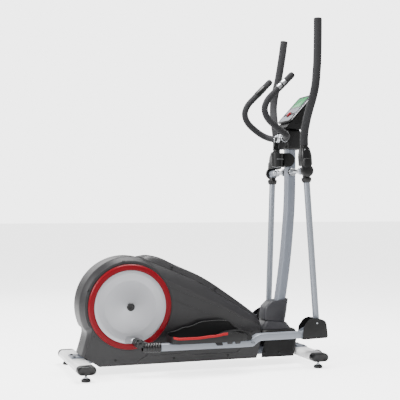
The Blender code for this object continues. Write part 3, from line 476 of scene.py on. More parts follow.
def screws(places, radius, height, material):
    """Cross-head screws at (point, outward direction) pairs."""
    points = bpy.data.meshes.new("points")
    points.from_pydata([point for point, _ in places], [], [])
    aim = points.attributes.new("aim", "FLOAT_VECTOR", "POINT")
    aim.data.foreach_set("vector", [c for _, direction in places for c in direction])
    holder = helper(points)
    step = holder.modifiers.new("Screws", "NODES")
    step.node_group = SCREWS
    values = {"Head Radius": radius, "Head Height": height, "Material": material}
    for item in SCREWS.interface.items_tree:
        if item.name in values:
            step[item.identifier] = values[item.name]
    return evaluated(holder)


# ---------------------------------------------------------------- camera, light and floor
EYE, YAW = (-1.3657, -4.1835, 0.7738), math.radians(-18.31)


def make_studio():
    camera = bpy.data.objects.new("camera", bpy.data.cameras.new("camera"))
    camera.location, camera.rotation_euler = EYE, (math.pi / 2, 0, YAW)
    camera.data.lens, camera.data.sensor_width, camera.data.shift_y = 81.0, 36.0, 0.01875
    bpy.context.scene.collection.objects.link(camera)
    bpy.context.scene.camera = camera
    world = bpy.data.worlds.new("studio")
    bpy.context.scene.world = world
    world.use_nodes = True
    tree = world.node_tree
    lighting = tree.nodes["Background"]
    lighting.inputs["Color"].default_value, lighting.inputs["Strength"].default_value = (1, 1, 1, 1), 0.52
    # The white paper behind the machine is brighter than the light that it sheds on it.
    paper = node(tree, "ShaderNodeBackground", {"Color": (1, 1, 1, 1), "Strength": 4.2})
    seen = node(tree, "ShaderNodeLightPath").outputs["Is Camera Ray"]
    both = node(tree, "ShaderNodeMixShader", {0: seen, 1: lighting.outputs[0], 2: paper.outputs[0]})
    tree.links.new(both.outputs[0], tree.nodes["World Output"].inputs["Surface"])
    for name, place, size, power in (("key", (-4.2, -1.0, 2.6), 2.0, 270), ("top", (0.2, 0.0, 3.6), 2.0, 260),
                                     ("fill", (3.0, -1.6, 1.6), 1.8, 10),
                                     ("back", (-0.8, 3.2, 2.2), 2.4, 40)):
        lamp = bpy.data.objects.new(name, bpy.data.lights.new(name, "AREA"))
        lamp.data.size, lamp.data.energy = size, power
        lamp.location = place
        aim = Vector((0, 0, 0.6)) - Vector(place)
        lamp.rotation_euler = aim.to_track_quat("-Z", "Y").to_euler()
        bpy.context.scene.collection.objects.link(lamp)
    floor = bpy.data.meshes.new("floor")
    floor.from_pydata([(x, y, -0.0005) for x, y in ((-40, -40), (40, -40), (40, 40), (-40, 40))], [],
                      [(0, 1, 2, 3)])
    ground = bpy.data.objects.new("floor", floor)
    bpy.context.scene.collection.objects.link(ground)
    pale = finish("pale_studio_floor", "#fafafa", 0.9, 20, 0.0, tone=0.005, Emission_Color=(1, 1, 1, 1))
    seen = node(pale.node_tree, "ShaderNodeLightPath").outputs["Is Camera Ray"]
    glow = node(pale.node_tree, "ShaderNodeMath", {0: seen, 1: 2.3, 2: 0.4}, operation="MULTIPLY_ADD")
    pale.node_tree.links.new(glow.outputs[0],
                             pale.node_tree.nodes["Principled BSDF"].inputs["Emission Strength"])
    floor.materials.append(pale)


make_studio()


# ---------------------------------------------------------------- floor tubes, feet and wheels
STAB_Z, STAB_HEIGHT, STAB_DEPTH, STAB_HALF = 0.053, 0.040, 0.086, 0.2275
FRONT_S = JOINT["front_left_foot_turn"].x - REAR_X
FOOT_Y = JOINT["front_left_foot_turn"].y
CAP_START, CAP_END = 0.228, 0.270
WHEEL_R, WHEEL_HALF, WHEEL_EAR_Y = 0.025, 0.012, 0.016
FOOT_RIBS, THREAD_PITCH = 28, 0.0013


def oval(grow=0.0, steps=24):
    """The outline of a floor tube: two half rounds with flats between, as (x, z) about its middle."""
    radius, reach = STAB_HEIGHT / 2 + grow, (STAB_DEPTH - STAB_HEIGHT) / 2
    turns = [math.pi * step / steps for step in range(steps + 1)]
    return [(end * (reach + radius * math.sin(turn)), end * radius * math.cos(turn))
            for end in (1, -1) for turn in turns]


def across(outline, middle, y, share=1.0):
    return [Vector((middle.x + x * share, y, middle.z + z * share)) for x, z in outline]


def hex_bolt(place, axis, size, height):
    """A flanged hexagon head with a rounded top."""
    hexagon = [(size * math.cos(math.radians(60 * i)),
                size * math.sin(math.radians(60 * i))) for i in range(6)]
    bm = bmesh.new()
    rows = [[bm.verts.new((x * share, y * share, z)) for x, y in hexagon]
            for share, z in ((1, 0.001), (1, height * 0.85), (0.86, height))]
    bridge(bm, rows)
    turn = Vector(axis).to_track_quat("Z", "Y").to_matrix().to_4x4()
    head = mesh_from(bm, Matrix.Translation(place) @ turn)
    flange = [(0, 0.0016), (size * 1.35, 0.0016), (size * 1.5, 0.0004), (size * 1.5, 0), (0, 0)]
    return merged(head, turned(flange, place, axis, 32))


def dome_bolt(place, axis, radius, height):
    """A carriage bolt's smooth round head."""
    arc = [(radius * math.sin(math.radians(a)), height * math.cos(math.radians(a))) for a in range(0, 91, 15)]
    return turned([*arc, (0, 0)], place, axis, 32)


def make_floor_tube(end, s):
    """An oval floor tube and its four bolt heads. The front one has two pairs of ears for the wheels."""
    middle = at(s, 0, STAB_Z)
    stations = (-STAB_HALF, -STAB_HALF / 2, 0, STAB_HALF / 2, STAB_HALF)
    parts = [loft([across(oval(), middle, y) for y in stations])]
    if end == "front":
        wheel = JOINT["right_wheel_spin"]
        for side in SIDES.values():
            for face in (-1, 1):
                y = side * JOINT["left_wheel_spin"].y + face * WHEEL_EAR_Y
                ear = softened([(middle.x + 0.026, wheel.z + 0.012), (wheel.x + 0.006, wheel.z + 0.010),
                                (wheel.x + 0.010, wheel.z), (wheel.x + 0.006, wheel.z - 0.010),
                                (middle.x + 0.026, wheel.z - 0.006)], 0.006)
                parts.append(plate(ear, y - 0.0015, y + 0.0015, 0.0005, 2))
    piece(f"{end}_floor_tube", merged(*parts), PALE_COAT, "root", "pale_paint", f"{end}_stabiliser")
    top = STAB_Z + STAB_HEIGHT / 2 + 0.0062
    spots = (-0.016, 0.032) if end == "rear" else (-0.030, 0.014)
    heads = [dome_bolt(at(s + along, y, top), (0, 0, 1), 0.0085, 0.005)
             for y in (-0.036, 0.036) for along in spots]
    piece(f"{end}_floor_tube_bolts", merged(*heads), BLACK_COAT, "root", "black_plastic")


def make_end_cap(end, s, name, side):
    """An oval plug: a flange over the tube's end, a raised band and a domed outer face."""
    middle = at(s, 0, STAB_Z)
    levels = [(CAP_START, 0.90), (CAP_START, 1.0), (0.2335, 1.0), (0.2340, 0.975), (0.2350, 0.975),
              (0.2355, 1.0),
              (0.2590, 1.0), (0.2640, 0.985), (0.2680, 0.945), (0.2696, 0.88), (CAP_END, 0.78),
              (0.2688, 0.70), (0.2686, 0.2)]
    cap = loft([across(oval(), middle, side * y, share) for y, share in levels])
    boss = rod(at(s, side * FOOT_Y, STAB_Z - STAB_HEIGHT / 2 + 0.002), at(s, side * FOOT_Y, 0.0295), 0.012,
               0.001)
    piece(f"{end}_tube_plug_{name}", merged(cap, boss), BLACK_ABS, "root", "black_plastic",
          f"{end}_end_cap_{name}")


def make_foot(end, s, name, side):
    """A levelling foot: a knurled rubber pad under a zinc screw and its lock nut."""
    place = at(s, side * FOOT_Y, 0.0)
    body = f"{end}_foot_{name}"
    profile = softened([(0.0, 0.0162), (0.009, 0.0162), (0.0175, 0.0145), (0.0210, 0.0105), (0.0210, 0.0022),
                        (0.0190, 0.0), (0.0, 0.0)], 0.0015, 3, closed=False)
    pad = turned([(point.x, point.y) for point in profile], place, (0, 0, 1), 64)
    ribs = []
    for turn in range(FOOT_RIBS):
        rib = block((-0.0010, 0.0200, 0.003), (0.0010, 0.0213, 0.0095), 0.0004, 1)
        rib.transform(Matrix.Translation(place) @ Matrix.Rotation(2 * math.pi * turn / FOOT_RIBS, 4, "Z"))
        ribs.append(rib)
    piece(f"{end}_foot_pad_{name}", merged(pad, *ribs), RUBBER, body, "rubber", f"{end}_foot_{name}")
    threads = []
    for turn in range(9):
        z = 0.0175 + turn * THREAD_PITCH
        threads += [(0.0050, z), (0.0043, z + THREAD_PITCH / 2)]
    stem = [(0, 0.046), (0.0045, 0.046), *threads[::-1], (0.0045, 0.0155), (0, 0.0155)]
    screw = turned(stem, place, (0, 0, 1), 32)
    nut = hex_bolt(place + Vector((0, 0, 0.0168)), (0, 0, 1), 0.0085, 0.0055)
    piece(f"{end}_foot_screw_{name}", merged(screw, nut), ZINC, body, "steel")


def make_wheel(name):
    """A transport wheel: a soft tyre with two grooves on a hub with a domed axle cap."""
    place, half, radius = JOINT[f"{name}_wheel_spin"], WHEEL_HALF, WHEEL_R
    tread = [(0.0165, half), (radius - 0.0045, half), (radius - 0.0012, half - 0.0014),
             (radius, half - 0.004),
             (radius, 0.0048), (radius - 0.0012, 0.0040), (radius - 0.0012, 0.0030), (radius, 0.0022)]
    profile = [*tread, *((r, -h) for r, h in reversed(tread)), tread[0]]
    piece(f"wheel_tyre_{name}", turned(profile, place, sides=64), RUBBER, f"wheel_{name}", "rubber",
          f"transport_wheel_{name}")
    hub = [(0.0044, half - 0.0012), (0.0085, half - 0.0010), (0.0100, half - 0.0035), (0.0150, half - 0.0035),
           (0.0164, half - 0.0012)]
    profile = [*hub, *((r, -h) for r, h in reversed(hub)), hub[0]]
    piece(f"wheel_hub_{name}", turned(profile, place, sides=48), BLACK_ABS, f"wheel_{name}", "black_plastic")
    reach = Vector((0, WHEEL_EAR_Y + 0.0016, 0))
    ends = [dome_bolt(place + face * (reach + Vector((0, 0.0001, 0))), (0, face, 0), 0.0062, 0.0022)
            for face in (-1, 1)]
    pin = rod(place - reach, place + reach, 0.004)
    piece(f"wheel_pin_{name}", merged(pin, *ends), ZINC, "root", "steel")


for end, s in (("rear", 0.0), ("front", FRONT_S)):
    make_floor_tube(end, s)
    for name, side in SIDES.items():
        make_end_cap(end, s, name, side)
        make_foot(end, s, name, side)
for name in SIDES:
    make_wheel(name)


# ---------------------------------------------------------------- main frame
def make_main_frame():
    """The welded frame: a rail on two saddles, the crank post with its bearing tube, and the fork."""
    rail = block(at(0.0445, -0.030, 0.045), at(1.0885, 0.030, 0.085), 0.004)
    saddle = STAB_Z + STAB_HEIGHT / 2 + 0.0004
    saddles = [block(at(a, -0.045, saddle), at(b, 0.045, saddle + 0.006), 0.0015, 2)
               for a, b in ((-0.030, 0.060), (1.075, 1.160))]
    post = block((CRANK_AT.x - 0.025, -0.022, 0.075), (CRANK_AT.x + 0.025, 0.022, CRANK_AT.z), 0.004)
    bearing = turned([(0.0106, 0.036), (0.026, 0.036), (0.028, 0.034), (0.028, -0.034), (0.026, -0.036),
                      (0.0106, -0.036), (0.0106, 0.036)], CRANK_AT, sides=48)
    x, z = FLYWHEEL_AT.x, FLYWHEEL_AT.z
    outline = softened([(x - 0.050, 0.077), (x + 0.050, 0.077), (x + 0.022, z + 0.022),
                        (x - 0.022, z + 0.022)], 0.012)
    fork = [carved(plate(outline, y - 0.002, y + 0.002, 0.0006, 2),
                   rod((x, y - 0.01, z), (x, y + 0.01, z), hole))
            for y, hole in ((-0.026, 0.0056), (0.026, 0.0135))]
    piece("welded_frame", merged(rail, *saddles, post, bearing, *fork), GREY_COAT, "root", "grey_paint",
          "main_frame")


make_main_frame()


# ---------------------------------------------------------------- casing
CASE_HALF, CASE_R, CASE_FLAT_R, CASE_WALL = 0.100, 0.234, 0.213, 0.003
CASE_EDGE = [(0.335, 0.520), (0.419, 0.486), (0.500, 0.452), (0.589, 0.410), (0.694, 0.347), (0.810, 0.277),
             (0.872, 0.236), (0.902, 0.205), (0.907, 0.122), (0.900, 0.092)]
CASE_SHOULDER = [(0.385, 0.452), (0.419, 0.426), (0.500, 0.388), (0.589, 0.346), (0.694, 0.296),
                 (0.810, 0.236), (0.860, 0.212), (0.884, 0.185), (0.887, 0.122), (0.868, 0.040)]
SPINE = [(0.299, 0.546), (0.316, 0.5495), (0.393, 0.536), (0.482, 0.495), (0.613, 0.436), (0.745, 0.350),
         (0.881, 0.251), (0.899, 0.224)]
SPINE_STEPS = 64
# How far the side has turned from its top edge (0) to its flat face (1), at each |y|.
SIDE_CURVE = [(0.0004, 0.0), (0.052, 0.0), (0.060, 0.006), (0.0655, 0.035), (0.0700, 0.105), (0.0890, 0.665),
              (0.0935, 0.815), (0.0970, 0.925), (0.0991, 0.985), (CASE_HALF, 1.03)]


def crank_arc(radius, start, end, steps=16):
    return [(CRANK[0] + radius * math.cos(math.radians(start + (end - start) * i / steps)),
             CRANK[1] + radius * math.sin(math.radians(start + (end - start) * i / steps)))
            for i in range(steps + 1)]


def flat_line(points):
    """A smooth (s, z) line through given points."""
    return [(point.x, point.z) for point in smooth_path([(s, 0, z) for s, z in points], 5)]


def height_on(line, s):
    for (s0, z0), (s1, z1) in zip(line, line[1:]):
        if s0 <= s <= s1:
            return z0 + (z1 - z0) * (s - s0) / (s1 - s0)
    return line[0][1] if s < line[0][0] else line[-1][1]


def groove(points, side, width=0.0048, depth=0.0024, y=CASE_HALF):
    """A cutter along a line on the flat side."""
    path = softened([at(s, side * y, z) for s, z in points], 0.008, 3, closed=False)
    section = [(-depth, -width / 2), (depth, -width / 2), (depth, width / 2), (-depth, width / 2)]
    return sweep(path, section, side=(0, 1, 0))


def screw_seats(side):
    """Where the cover screws sit on one side, and which way each one looks."""
    seats = []
    for s, y, z, lean in ((0.204, 0.0965, 0.5245, 0.8), (0.038, 0.0985, 0.390, 0.5),
                          (0.063, 0.0975, 0.178, 0.3),
                          (0.165, 0.100, 0.064, 0), (0.448, 0.100, 0.060, 0), (0.721, 0.100, 0.060, 0),
                          (0.861, 0.0945, 0.2125, 1.2)):
        out = Vector((s - CRANK[0], 0, z - CRANK[1])) if s < 0.3 else Vector((0.5, 0, 1))
        aim = out.normalized() * lean + Vector((0, side, 0))
        seats.append((at(s, side * y, z), aim.normalized()))
    return seats


def make_side_cover(name, side):
    """One moulded half of the casing, with its sunk lines and the round step behind the disc."""
    edge = flat_line([(0.012, 0.086), *crank_arc(CASE_R, 212, 75), *CASE_EDGE])
    flat = flat_line([(0.018, 0.086), *crank_arc(CASE_FLAT_R, 212, 52), *CASE_SHOULDER])
    bm = bmesh.new()
    rows = []
    for y, share in SIDE_CURVE:
        share = min(share, 1.0)
        rows.append([bm.verts.new(at(e[0] + (f[0] - e[0]) * share, side * y, e[1] + (f[1] - e[1]) * share))
                     for e, f in zip(edge, flat)])
    for lower, upper in zip(rows, rows[1:]):
        for a, b, c, d in zip(lower, lower[1:], upper[1:], upper):
            bm.faces.new((a, b, c, d))
    panel = bm.faces.new([*rows[-1], bm.verts.new(at(0.090, side * CASE_HALF, 0.038)),
                          bm.verts.new(at(0.060, side * CASE_HALF, 0.058))])
    bmesh.ops.recalc_face_normals(bm, faces=bm.faces)
    panel.normal_update()
    if panel.normal.y * side < 0:
        bmesh.ops.reverse_faces(bm, faces=bm.faces)
    open_side = bpy.data.meshes.new("side")
    bm.to_mesh(open_side)
    bm.free()
    cover = walled(open_side, CASE_WALL)
    face = Vector((CRANK_AT.x, side * CASE_HALF, CRANK_AT.z))
    cutters = [rod(face - Vector((0, side * 0.02, 0)), face + Vector((0, side * 0.01, 0)), 0.030, sides=48),
               turned([(0.1992, 0.004), (0.2045, 0.004), (0.2038, -0.0016), (0.1992, -0.0016),
                       (0.1992, 0.004)],
                      face, (0, side, 0), 144),
               groove([(0.321, 0.0865), (0.2727, 0.0562)], side),
               groove([(0.343, 0.0790), (0.498, 0.0850), (0.538, 0.1045), (0.800, 0.1130)], side),
               groove([(0.545, 0.0755), (0.765, 0.0745), (0.800, 0.1000), (0.846, 0.1020)], side),
               groove([(0.4384, 0.3408), (0.7617, 0.2045)], side, 0.0056),
               groove([(0.4180, 0.4020), (0.7300, 0.2700), (0.8000, 0.2320)], side, 0.0040, 0.0018),
               groove([(0.7720, 0.2030), (0.8449, 0.1665)], side, 0.0110, 0.0020)]
    piece(f"casing_side_{name}", carved(cover, *cutters), CASING_ABS, "root", "casing_plastic",
          f"casing_{name}")
    flank = [(at(s, side * 0.0568, z), Vector((0.25, side, 0.55)).normalized())
             for s, z in ((0.452, 0.4890), (0.672, 0.3790))]
    piece(f"casing_screws_{name}", screws(screw_seats(side) + flank, 0.0062, 0.0016, BLACK_ABS), BLACK_ABS,
          "root", "black_plastic")


def make_spine():
    """The raised cover along the top, with its two sunk lines and a step round its rear end."""
    top_line = [*crank_arc(CASE_R, 95, 75, 6), *CASE_EDGE[:8]]
    ridge_line = flat_line(SPINE)
    first, last = SPINE[0][0], SPINE[-1][0]
    sections = []
    for i in range(SPINE_STEPS + 1):
        s = first + (last - first) * i / SPINE_STEPS
        ridge, seat = height_on(ridge_line, s), height_on(top_line, s) + 0.001
        nose = min(1.0, 0.35 + 0.65 * math.sin(min(1.0, i / 5) * math.pi / 2))
        rise = (ridge - seat) * nose
        half = [(0.0, 1.0), (0.022, 0.992), (0.0365, 0.955), (0.0430, 0.865), (0.0475, 0.70), (0.0545, 0.28),
                (0.0590, 0.06), (0.0600, 0.0)]
        up = [(y, seat + rise * share) for y, share in half]
        under = [(0.0560, seat - 0.003), (-0.0560, seat - 0.003)]
        outline = [(-y, z) for y, z in reversed(up[1:])] + up + under
        sections.append([at(s, y, z) for y, z in outline])
    spine = loft(sections)
    lines = []
    for side in SIDES.values():
        path = [at(s, side * 0.0400, z - 0.0025) for s, z in ridge_line if 0.312 <= s <= 0.880]
        lines.append(sweep(path, ring_of(0.0019, 8)))
    piece("casing_spine_cover", carved(spine, *lines), CASING_ABS, "root", "casing_plastic", "casing_spine")


def level_ring(s_low, s_high, half, z_low, z_high, corner, steps=6):
    """A rectangle in plan with round corners, tilted from z_low at its rear to z_high at its front."""
    outline = softened([(s_low, -half), (s_high, -half), (s_high, half), (s_low, half)], corner, steps)
    return [at(p.x, p.y, z_low + (z_high - z_low) * (p.x - s_low) / (s_high - s_low)) for p in outline]


MAST_PATH = [(0.990, 0.0895), (1.007, 0.190), (1.034, 0.312), (1.062, 0.509), (1.079, 0.685), (1.087, 0.812),
             (1.0896, 0.960), (1.0896, 1.100)]
MAST_DEPTH, MAST_WIDTH = 0.045, 0.056


def make_foot_covers():
    """The dark cover at the mast's foot, and the two boots that step in round the mast."""
    base = loft([level_ring(0.9230, 1.084, 0.062, 0.1702, 0.1702, 0.030),
                 level_ring(0.9130, 1.094, 0.072, 0.1680, 0.1680, 0.034),
                 level_ring(0.9085, 1.098, 0.078, 0.1600, 0.1600, 0.034),
                 level_ring(0.9085, 1.098, 0.084, 0.120, 0.120, 0.030),
                 level_ring(0.9020, 1.090, 0.087, 0.080, 0.080, 0.030),
                 level_ring(0.8945, 1.080, 0.088, 0.038, 0.038, 0.030)])
    base = carved(base, block(at(0.85, -0.080, 0.0), at(1.066, 0.080, 0.150), 0.012),
                  block(at(0.985, -0.047, 0.01), at(1.12, 0.047, 0.0880), 0.003),
                  block(at(0.965, -0.034, 0.13), at(1.035, 0.034, 0.2), 0.004))
    piece("mast_foot_cover", base, PEDAL_NYLON, "root", "dark_plastic", "front_base_cover")
    seats = [(at(s, side * 0.0876, z), Vector((0, side, 0)))
             for side in SIDES.values() for s, z in ((0.9130, 0.060), (0.994, 0.058))]
    piece("foot_cover_screws", screws(seats, 0.0060, 0.0018, BLACK_ABS), BLACK_ABS, "root", "black_plastic")
    lower = loft([level_ring(0.912, 1.072, 0.064, 0.1707, 0.1707, 0.026),
                  level_ring(0.916, 1.0695, 0.062, 0.1800, 0.1780, 0.026),
                  level_ring(0.937, 1.058, 0.0515, 0.206, 0.196, 0.022),
                  level_ring(0.940, 1.0565, 0.0500, 0.2110, 0.1990, 0.022),
                  level_ring(0.944, 1.0540, 0.0470, 0.2122, 0.2004, 0.020)])
    lower = carved(lower, block(at(0.955, -0.034, 0.16), at(1.045, 0.034, 0.22), 0.004))
    piece("mast_boot_step", lower, LIT_BOOT_ABS, "root", "casing_plastic", "mast_boot_lower")
    upper = loft([level_ring(0.936, 1.045, 0.0445, 0.2137, 0.2017, 0.018),
                  level_ring(0.934, 1.047, 0.0460, 0.2160, 0.2040, 0.018),
                  level_ring(0.940, 1.058, 0.044, 0.268, 0.258, 0.018),
                  level_ring(0.943, 1.060, 0.0433, 0.280, 0.274, 0.018),
                  level_ring(0.9655, 1.0670, 0.0405, 0.3020, 0.3130, 0.018),
                  level_ring(0.970, 1.0680, 0.0385, 0.3050, 0.3170, 0.017)])
    gap = softened([(-0.030, -0.0245), (0.030, -0.0245), (0.030, 0.0245), (-0.030, 0.0245)], 0.012, 5)
    path = smooth_path([at(s, 0, z) for s, z in MAST_PATH], 4)
    piece("mast_boot_collar", carved(upper, sweep(path, [(p.x, p.y) for p in gap])), LIT_BOOT_ABS, "root",
          "casing_plastic", "mast_boot_upper")


for name, side in SIDES.items():
    make_side_cover(name, side)
make_spine()
make_foot_covers()


# ---------------------------------------------------------------- crank discs
DISC_R, RING_R, DISC_IN, DISC_OUT, AXLE_R = 0.171, 0.199, 0.1015, 0.1125, 0.010


def on_disc(side, y):
    return Vector((CRANK_AT.x, side * y, CRANK_AT.z))


def make_crank_side(name, side):
    """A silver disc inside a red ring, with the crank pin's stub and a capped axle."""
    depth = DISC_OUT - DISC_IN
    face, out = on_disc(side, DISC_IN), (0, side, 0)
    shape = [(AXLE_R + 0.0006, 0.0078), (0.022, 0.0078), (0.024, 0.0070), (0.120, 0.0070), (0.1255, 0.0073),
             (0.1300, 0.0082), (0.1470, 0.0098), (0.1490, 0.0100), (0.1520, 0.0106), (0.1680, depth - 0.0002),
             (DISC_R - 0.0004, depth - 0.0012), (DISC_R - 0.0004, 0.0), (AXLE_R + 0.0006, 0.0)]
    disc = turned([*shape, shape[0]], face, out, 144)
    pin = crank_pin(side)
    seat = Vector((pin.x, side * (DISC_OUT - 0.0005), pin.z))
    dish = turned([(0.046, 0.004), (0.046, 0.0), (0.040, -0.0016), (0.020, -0.0046), (0.0, -0.0050),
                   (0.0, 0.004)],
                  seat, out, 64)
    stub = rod(seat - Vector((0, side * 0.006, 0)), Vector((pin.x, side * 0.1268, pin.z)), 0.0108, 0.001)
    piece(f"crank_plate_{name}", carved(disc, dish), SILVER_LACQUER, "crank", "silver_plastic",
          f"crank_disc_{name}")
    collar = turned([(0, 0.0046), (0.0135, 0.0046), (0.0150, 0.0032), (0.0150, -0.004), (0, -0.004)], seat,
                    out, 48)
    piece(f"crank_pin_{name}", merged(stub, collar), ZINC, "crank", "steel")
    crown = softened([(DISC_R + 0.0006, 0.0), (DISC_R + 0.0006, depth - 0.0012), (0.1745, depth),
                      (0.1925, depth),
                      (RING_R - 0.0002, depth - 0.0052), (RING_R - 0.0002, 0.0)], 0.0022, 4, closed=False)
    ring = turned([*((p.x, p.y) for p in crown), (DISC_R + 0.0006, 0.0)], face, out, 144)
    hole = rod(seat - Vector((0, side * 0.02, 0)), seat + Vector((0, side * 0.02, 0)), 0.0158)
    piece(f"crank_rim_{name}", carved(ring, hole), RED_ABS, "crank", "red_plastic", f"crank_ring_{name}")
    cap = softened([(0.0, 0.0038), (0.0070, 0.0038), (0.0085, 0.0060), (0.0150, 0.0060), (0.0190, 0.0022),
                    (0.0190, 0.0), (0.0, 0.0)], 0.0012, 3, closed=False)
    piece(f"axle_cap_{name}", turned([(p.x, p.y) for p in cap], on_disc(side, DISC_OUT + 0.0015), out, 64),
          BLACK_ABS,
          "crank", "black_plastic", f"hub_cap_{name}")


for name, side in SIDES.items():
    make_crank_side(name, side)


# ---------------------------------------------------------------- drive inside the casing
def make_drive_details():
    """A pulley with six round windows, and a turned flywheel with its grooved small pulley."""
    y, half, radius = 0.045, 0.006, 0.130
    profile = [(0.0106, half), (0.022, half), (0.024, 0.0030), (0.112, 0.0030), (0.1150, half - 0.0002),
               (radius, half - 0.0002)]
    wheel = turned([*profile, *((r, -h) for r, h in reversed(profile)), profile[0]],
                   (CRANK_AT.x, y, CRANK_AT.z), sides=96)
    holes = [rod((CRANK_AT.x + 0.068 * math.cos(a), y - 0.02, CRANK_AT.z + 0.068 * math.sin(a)),
                 (CRANK_AT.x + 0.068 * math.cos(a), y + 0.02, CRANK_AT.z + 0.068 * math.sin(a)), 0.023)
             for a in (math.radians(60 * i) for i in range(6))]
    piece("crank_pulley", carved(wheel, *holes), BLACK_ABS, "crank", "black_plastic", "drive_pulley")
    rim = [(0.0056, 0.016), (0.020, 0.016), (0.024, 0.008), (0.088, 0.008), (0.094, 0.0165), (0.1190, 0.0165),
           (0.1200, 0.0155)]
    shape = turned([*rim, *((r, -h) for r, h in reversed(rim)), rim[0]], FLYWHEEL_AT, sides=96)
    hub = [(0.0056, 0.052), (0.0190, 0.052)]
    for i in range(5):
        z = 0.0505 - i * 0.0024
        hub += [(0.0200, z), (0.0182, z - 0.0012)]
    hub += [(0.0200, 0.0385), (0.0115, 0.0385), (0.0115, 0.010), (0.0056, 0.010)]
    small = turned([*hub, hub[0]], FLYWHEEL_AT, sides=48)
    piece("cast_flywheel", merged(shape, small), CAST_IRON, "flywheel", "cast_iron", "flywheel")


make_drive_details()


# ---------------------------------------------------------------- mast and cockpit
MAST_TOP_S, MAST_TOP = MAST_PATH[-1]
BAR_R, BAR_FOAM_R, SENSOR_R, SENSOR_BORE_R, SENSOR_BAND_R = 0.0135, 0.0158, 0.0176, 0.0150, 0.0168
CUP_S, CUP_FLOOR, CUP_RIM = 1.024, 0.982, 1.047


def make_mast():
    """A bent rectangular tube with round corners, and the pivot axle through its top."""
    path = smooth_path([at(s, 0, z) for s, z in MAST_PATH], 6)
    section = softened([(-MAST_WIDTH / 2, -MAST_DEPTH / 2), (MAST_WIDTH / 2, -MAST_DEPTH / 2),
                        (MAST_WIDTH / 2, MAST_DEPTH / 2), (-MAST_WIDTH / 2, MAST_DEPTH / 2)], 0.010, 5)
    mast = sweep(path, [(p.x, p.y) for p in section])
    pivot = Vector((JOINT["right_swing"].x, 0, PIVOT_Z))
    bore = AXLE_R + 0.0006
    seat = rod(pivot - Vector((0, 0.1, 0)), pivot + Vector((0, 0.1, 0)), bore)
    piece("bent_mast", carved(mast, seat), GREY_COAT, "root", "grey_paint", "mast")
    boss = [(bore, 0.0), (0.0175, 0.0), (0.0175, 0.0040), (0.0155, 0.0060), (bore, 0.0060), (bore, 0.0)]
    bosses = [turned(boss, (pivot.x, side * (MAST_WIDTH / 2 - 0.0002), pivot.z), (0, side, 0), 48)
              for side in SIDES.values()]
    piece("mast_bosses", merged(*bosses), BLACK_COAT, "root", "black_plastic")
    axle = turned([(0, 0.2222), (0.0088, 0.2222), (AXLE_R, 0.2205), (AXLE_R, -0.2205), (0.0088, -0.2222),
                   (0, -0.2222)],
                  pivot, sides=40)
    rings = []
    for side in SIDES.values():
        for inner, outer, radius in ((0.046, 0.052, 0.0170), (0.052, 0.0535, 0.0195),
                                     (0.1455, 0.1570, 0.0185), (0.1390, 0.1455, 0.0140)):
            rings.append(turned([(0.0102, inner), (radius - 0.001, inner), (radius, inner + 0.001),
                                 (radius, outer - 0.001), (radius - 0.001, outer), (0.0102, outer),
                                 (0.0102, inner)], pivot, (0, side, 0), 40))
    piece("swing_axle", merged(axle, *rings), ZINC, "root", "steel", "pivot_axle")


def make_cup_holder():
    """A drinks holder on the rear of the mast: a lipped cup with a clip that wraps the tube."""
    lip, depth = 0.0352, CUP_RIM - CUP_FLOOR
    profile = [(0.0, -0.004), (0.0290, -0.004), (0.0310, -0.002), (0.0345, depth - 0.003),
               (lip, depth - 0.0022),
               (lip, depth - 0.0004), (0.0345, depth), (0.0318, depth - 0.0006), (0.0284, 0.0016),
               (0.0262, 0.0), (0.0, 0.0)]
    cup = turned(profile[::-1], at(CUP_S, 0, CUP_FLOOR), (0, 0, 1), 64)
    clip = softened([(1.046, 0.9785), (1.078, 0.9785), (1.096, 0.993), (1.108, 1.0135), (1.096, 1.034),
                     (1.078, 1.0465), (1.046, 1.0465)], 0.009)
    body = plate([(at(p.x, 0, p.y).x, p.y) for p in clip], -0.0325, 0.0325, 0.004)
    void = block(at(MAST_TOP_S - MAST_DEPTH / 2 - 0.0004, -MAST_WIDTH / 2 - 0.0004, 0.9),
                 at(1.13, MAST_WIDTH / 2 + 0.0004, 1.1), 0.006)
    inside = turned([(0.0, 0.0), (0.0262, 0.0), (0.0284, 0.0016), (0.0320, depth + 0.01), (0.0, 0.1)],
                    at(CUP_S, 0, CUP_FLOOR), (0, 0, 1), 64)
    piece("drinks_holder", merged(cup, carved(body, void, inside)), BLACK_ABS, "root", "black_plastic",
          "cup_holder")
    # The silver bands round the cup's sides are a painted highlight: they stand in for the gleam of light
    # along the rounded barrel.
    painted_highlights = []
    for side in SIDES.values():
        arc = [math.radians(side * turn) for turn in range(58, 123, 8)]
        bend = [at(CUP_S + 0.0335 * math.cos(turn), 0.0335 * math.sin(turn), 1.0165) for turn in arc]
        band = [(-0.0008, -0.0012), (0.0008, -0.0012), (0.0008, 0.0012), (-0.0008, 0.0012)]
        painted_highlights.append(sweep(bend, band, side=(0, 0, 1)))
    piece("holder_painted_highlight", merged(*painted_highlights), SILVER_LACQUER, "root", "silver_plastic")


def bar_line(steps=8):
    """The fixed bar's middle line, from its right end round the mast to its left end."""
    half = [(1.045, 0.140, 1.430), (0.960, 0.136, 1.346), (0.914, 0.134, 1.297), (0.898, 0.133, 1.250),
            (0.918, 0.132, 1.203), (0.973, 0.131, 1.158), (1.015, 0.118, 1.134), (1.040, 0.075, 1.122),
            (1.0455, 0.030, 1.120)]
    return smooth_path([at(s, -y, z) for s, y, z in half] + [at(s, y, z) for s, y, z in half[::-1]], steps)


def stretch_of(line, low, high):
    """The part of a line whose share of its length runs from low to high."""
    lengths = [0.0]
    for a, b in zip(line, line[1:]):
        lengths.append(lengths[-1] + (b - a).length)
    total = lengths[-1]
    inside = [p for p, length in zip(line, lengths) if low * total < length < high * total]

    def point(share):
        for a, b, before, after in zip(line, line[1:], lengths, lengths[1:]):
            if before <= share * total <= after:
                return a.lerp(b, (share * total - before) / (after - before))
        return line[-1]
    return [point(low), *inside, point(high)]


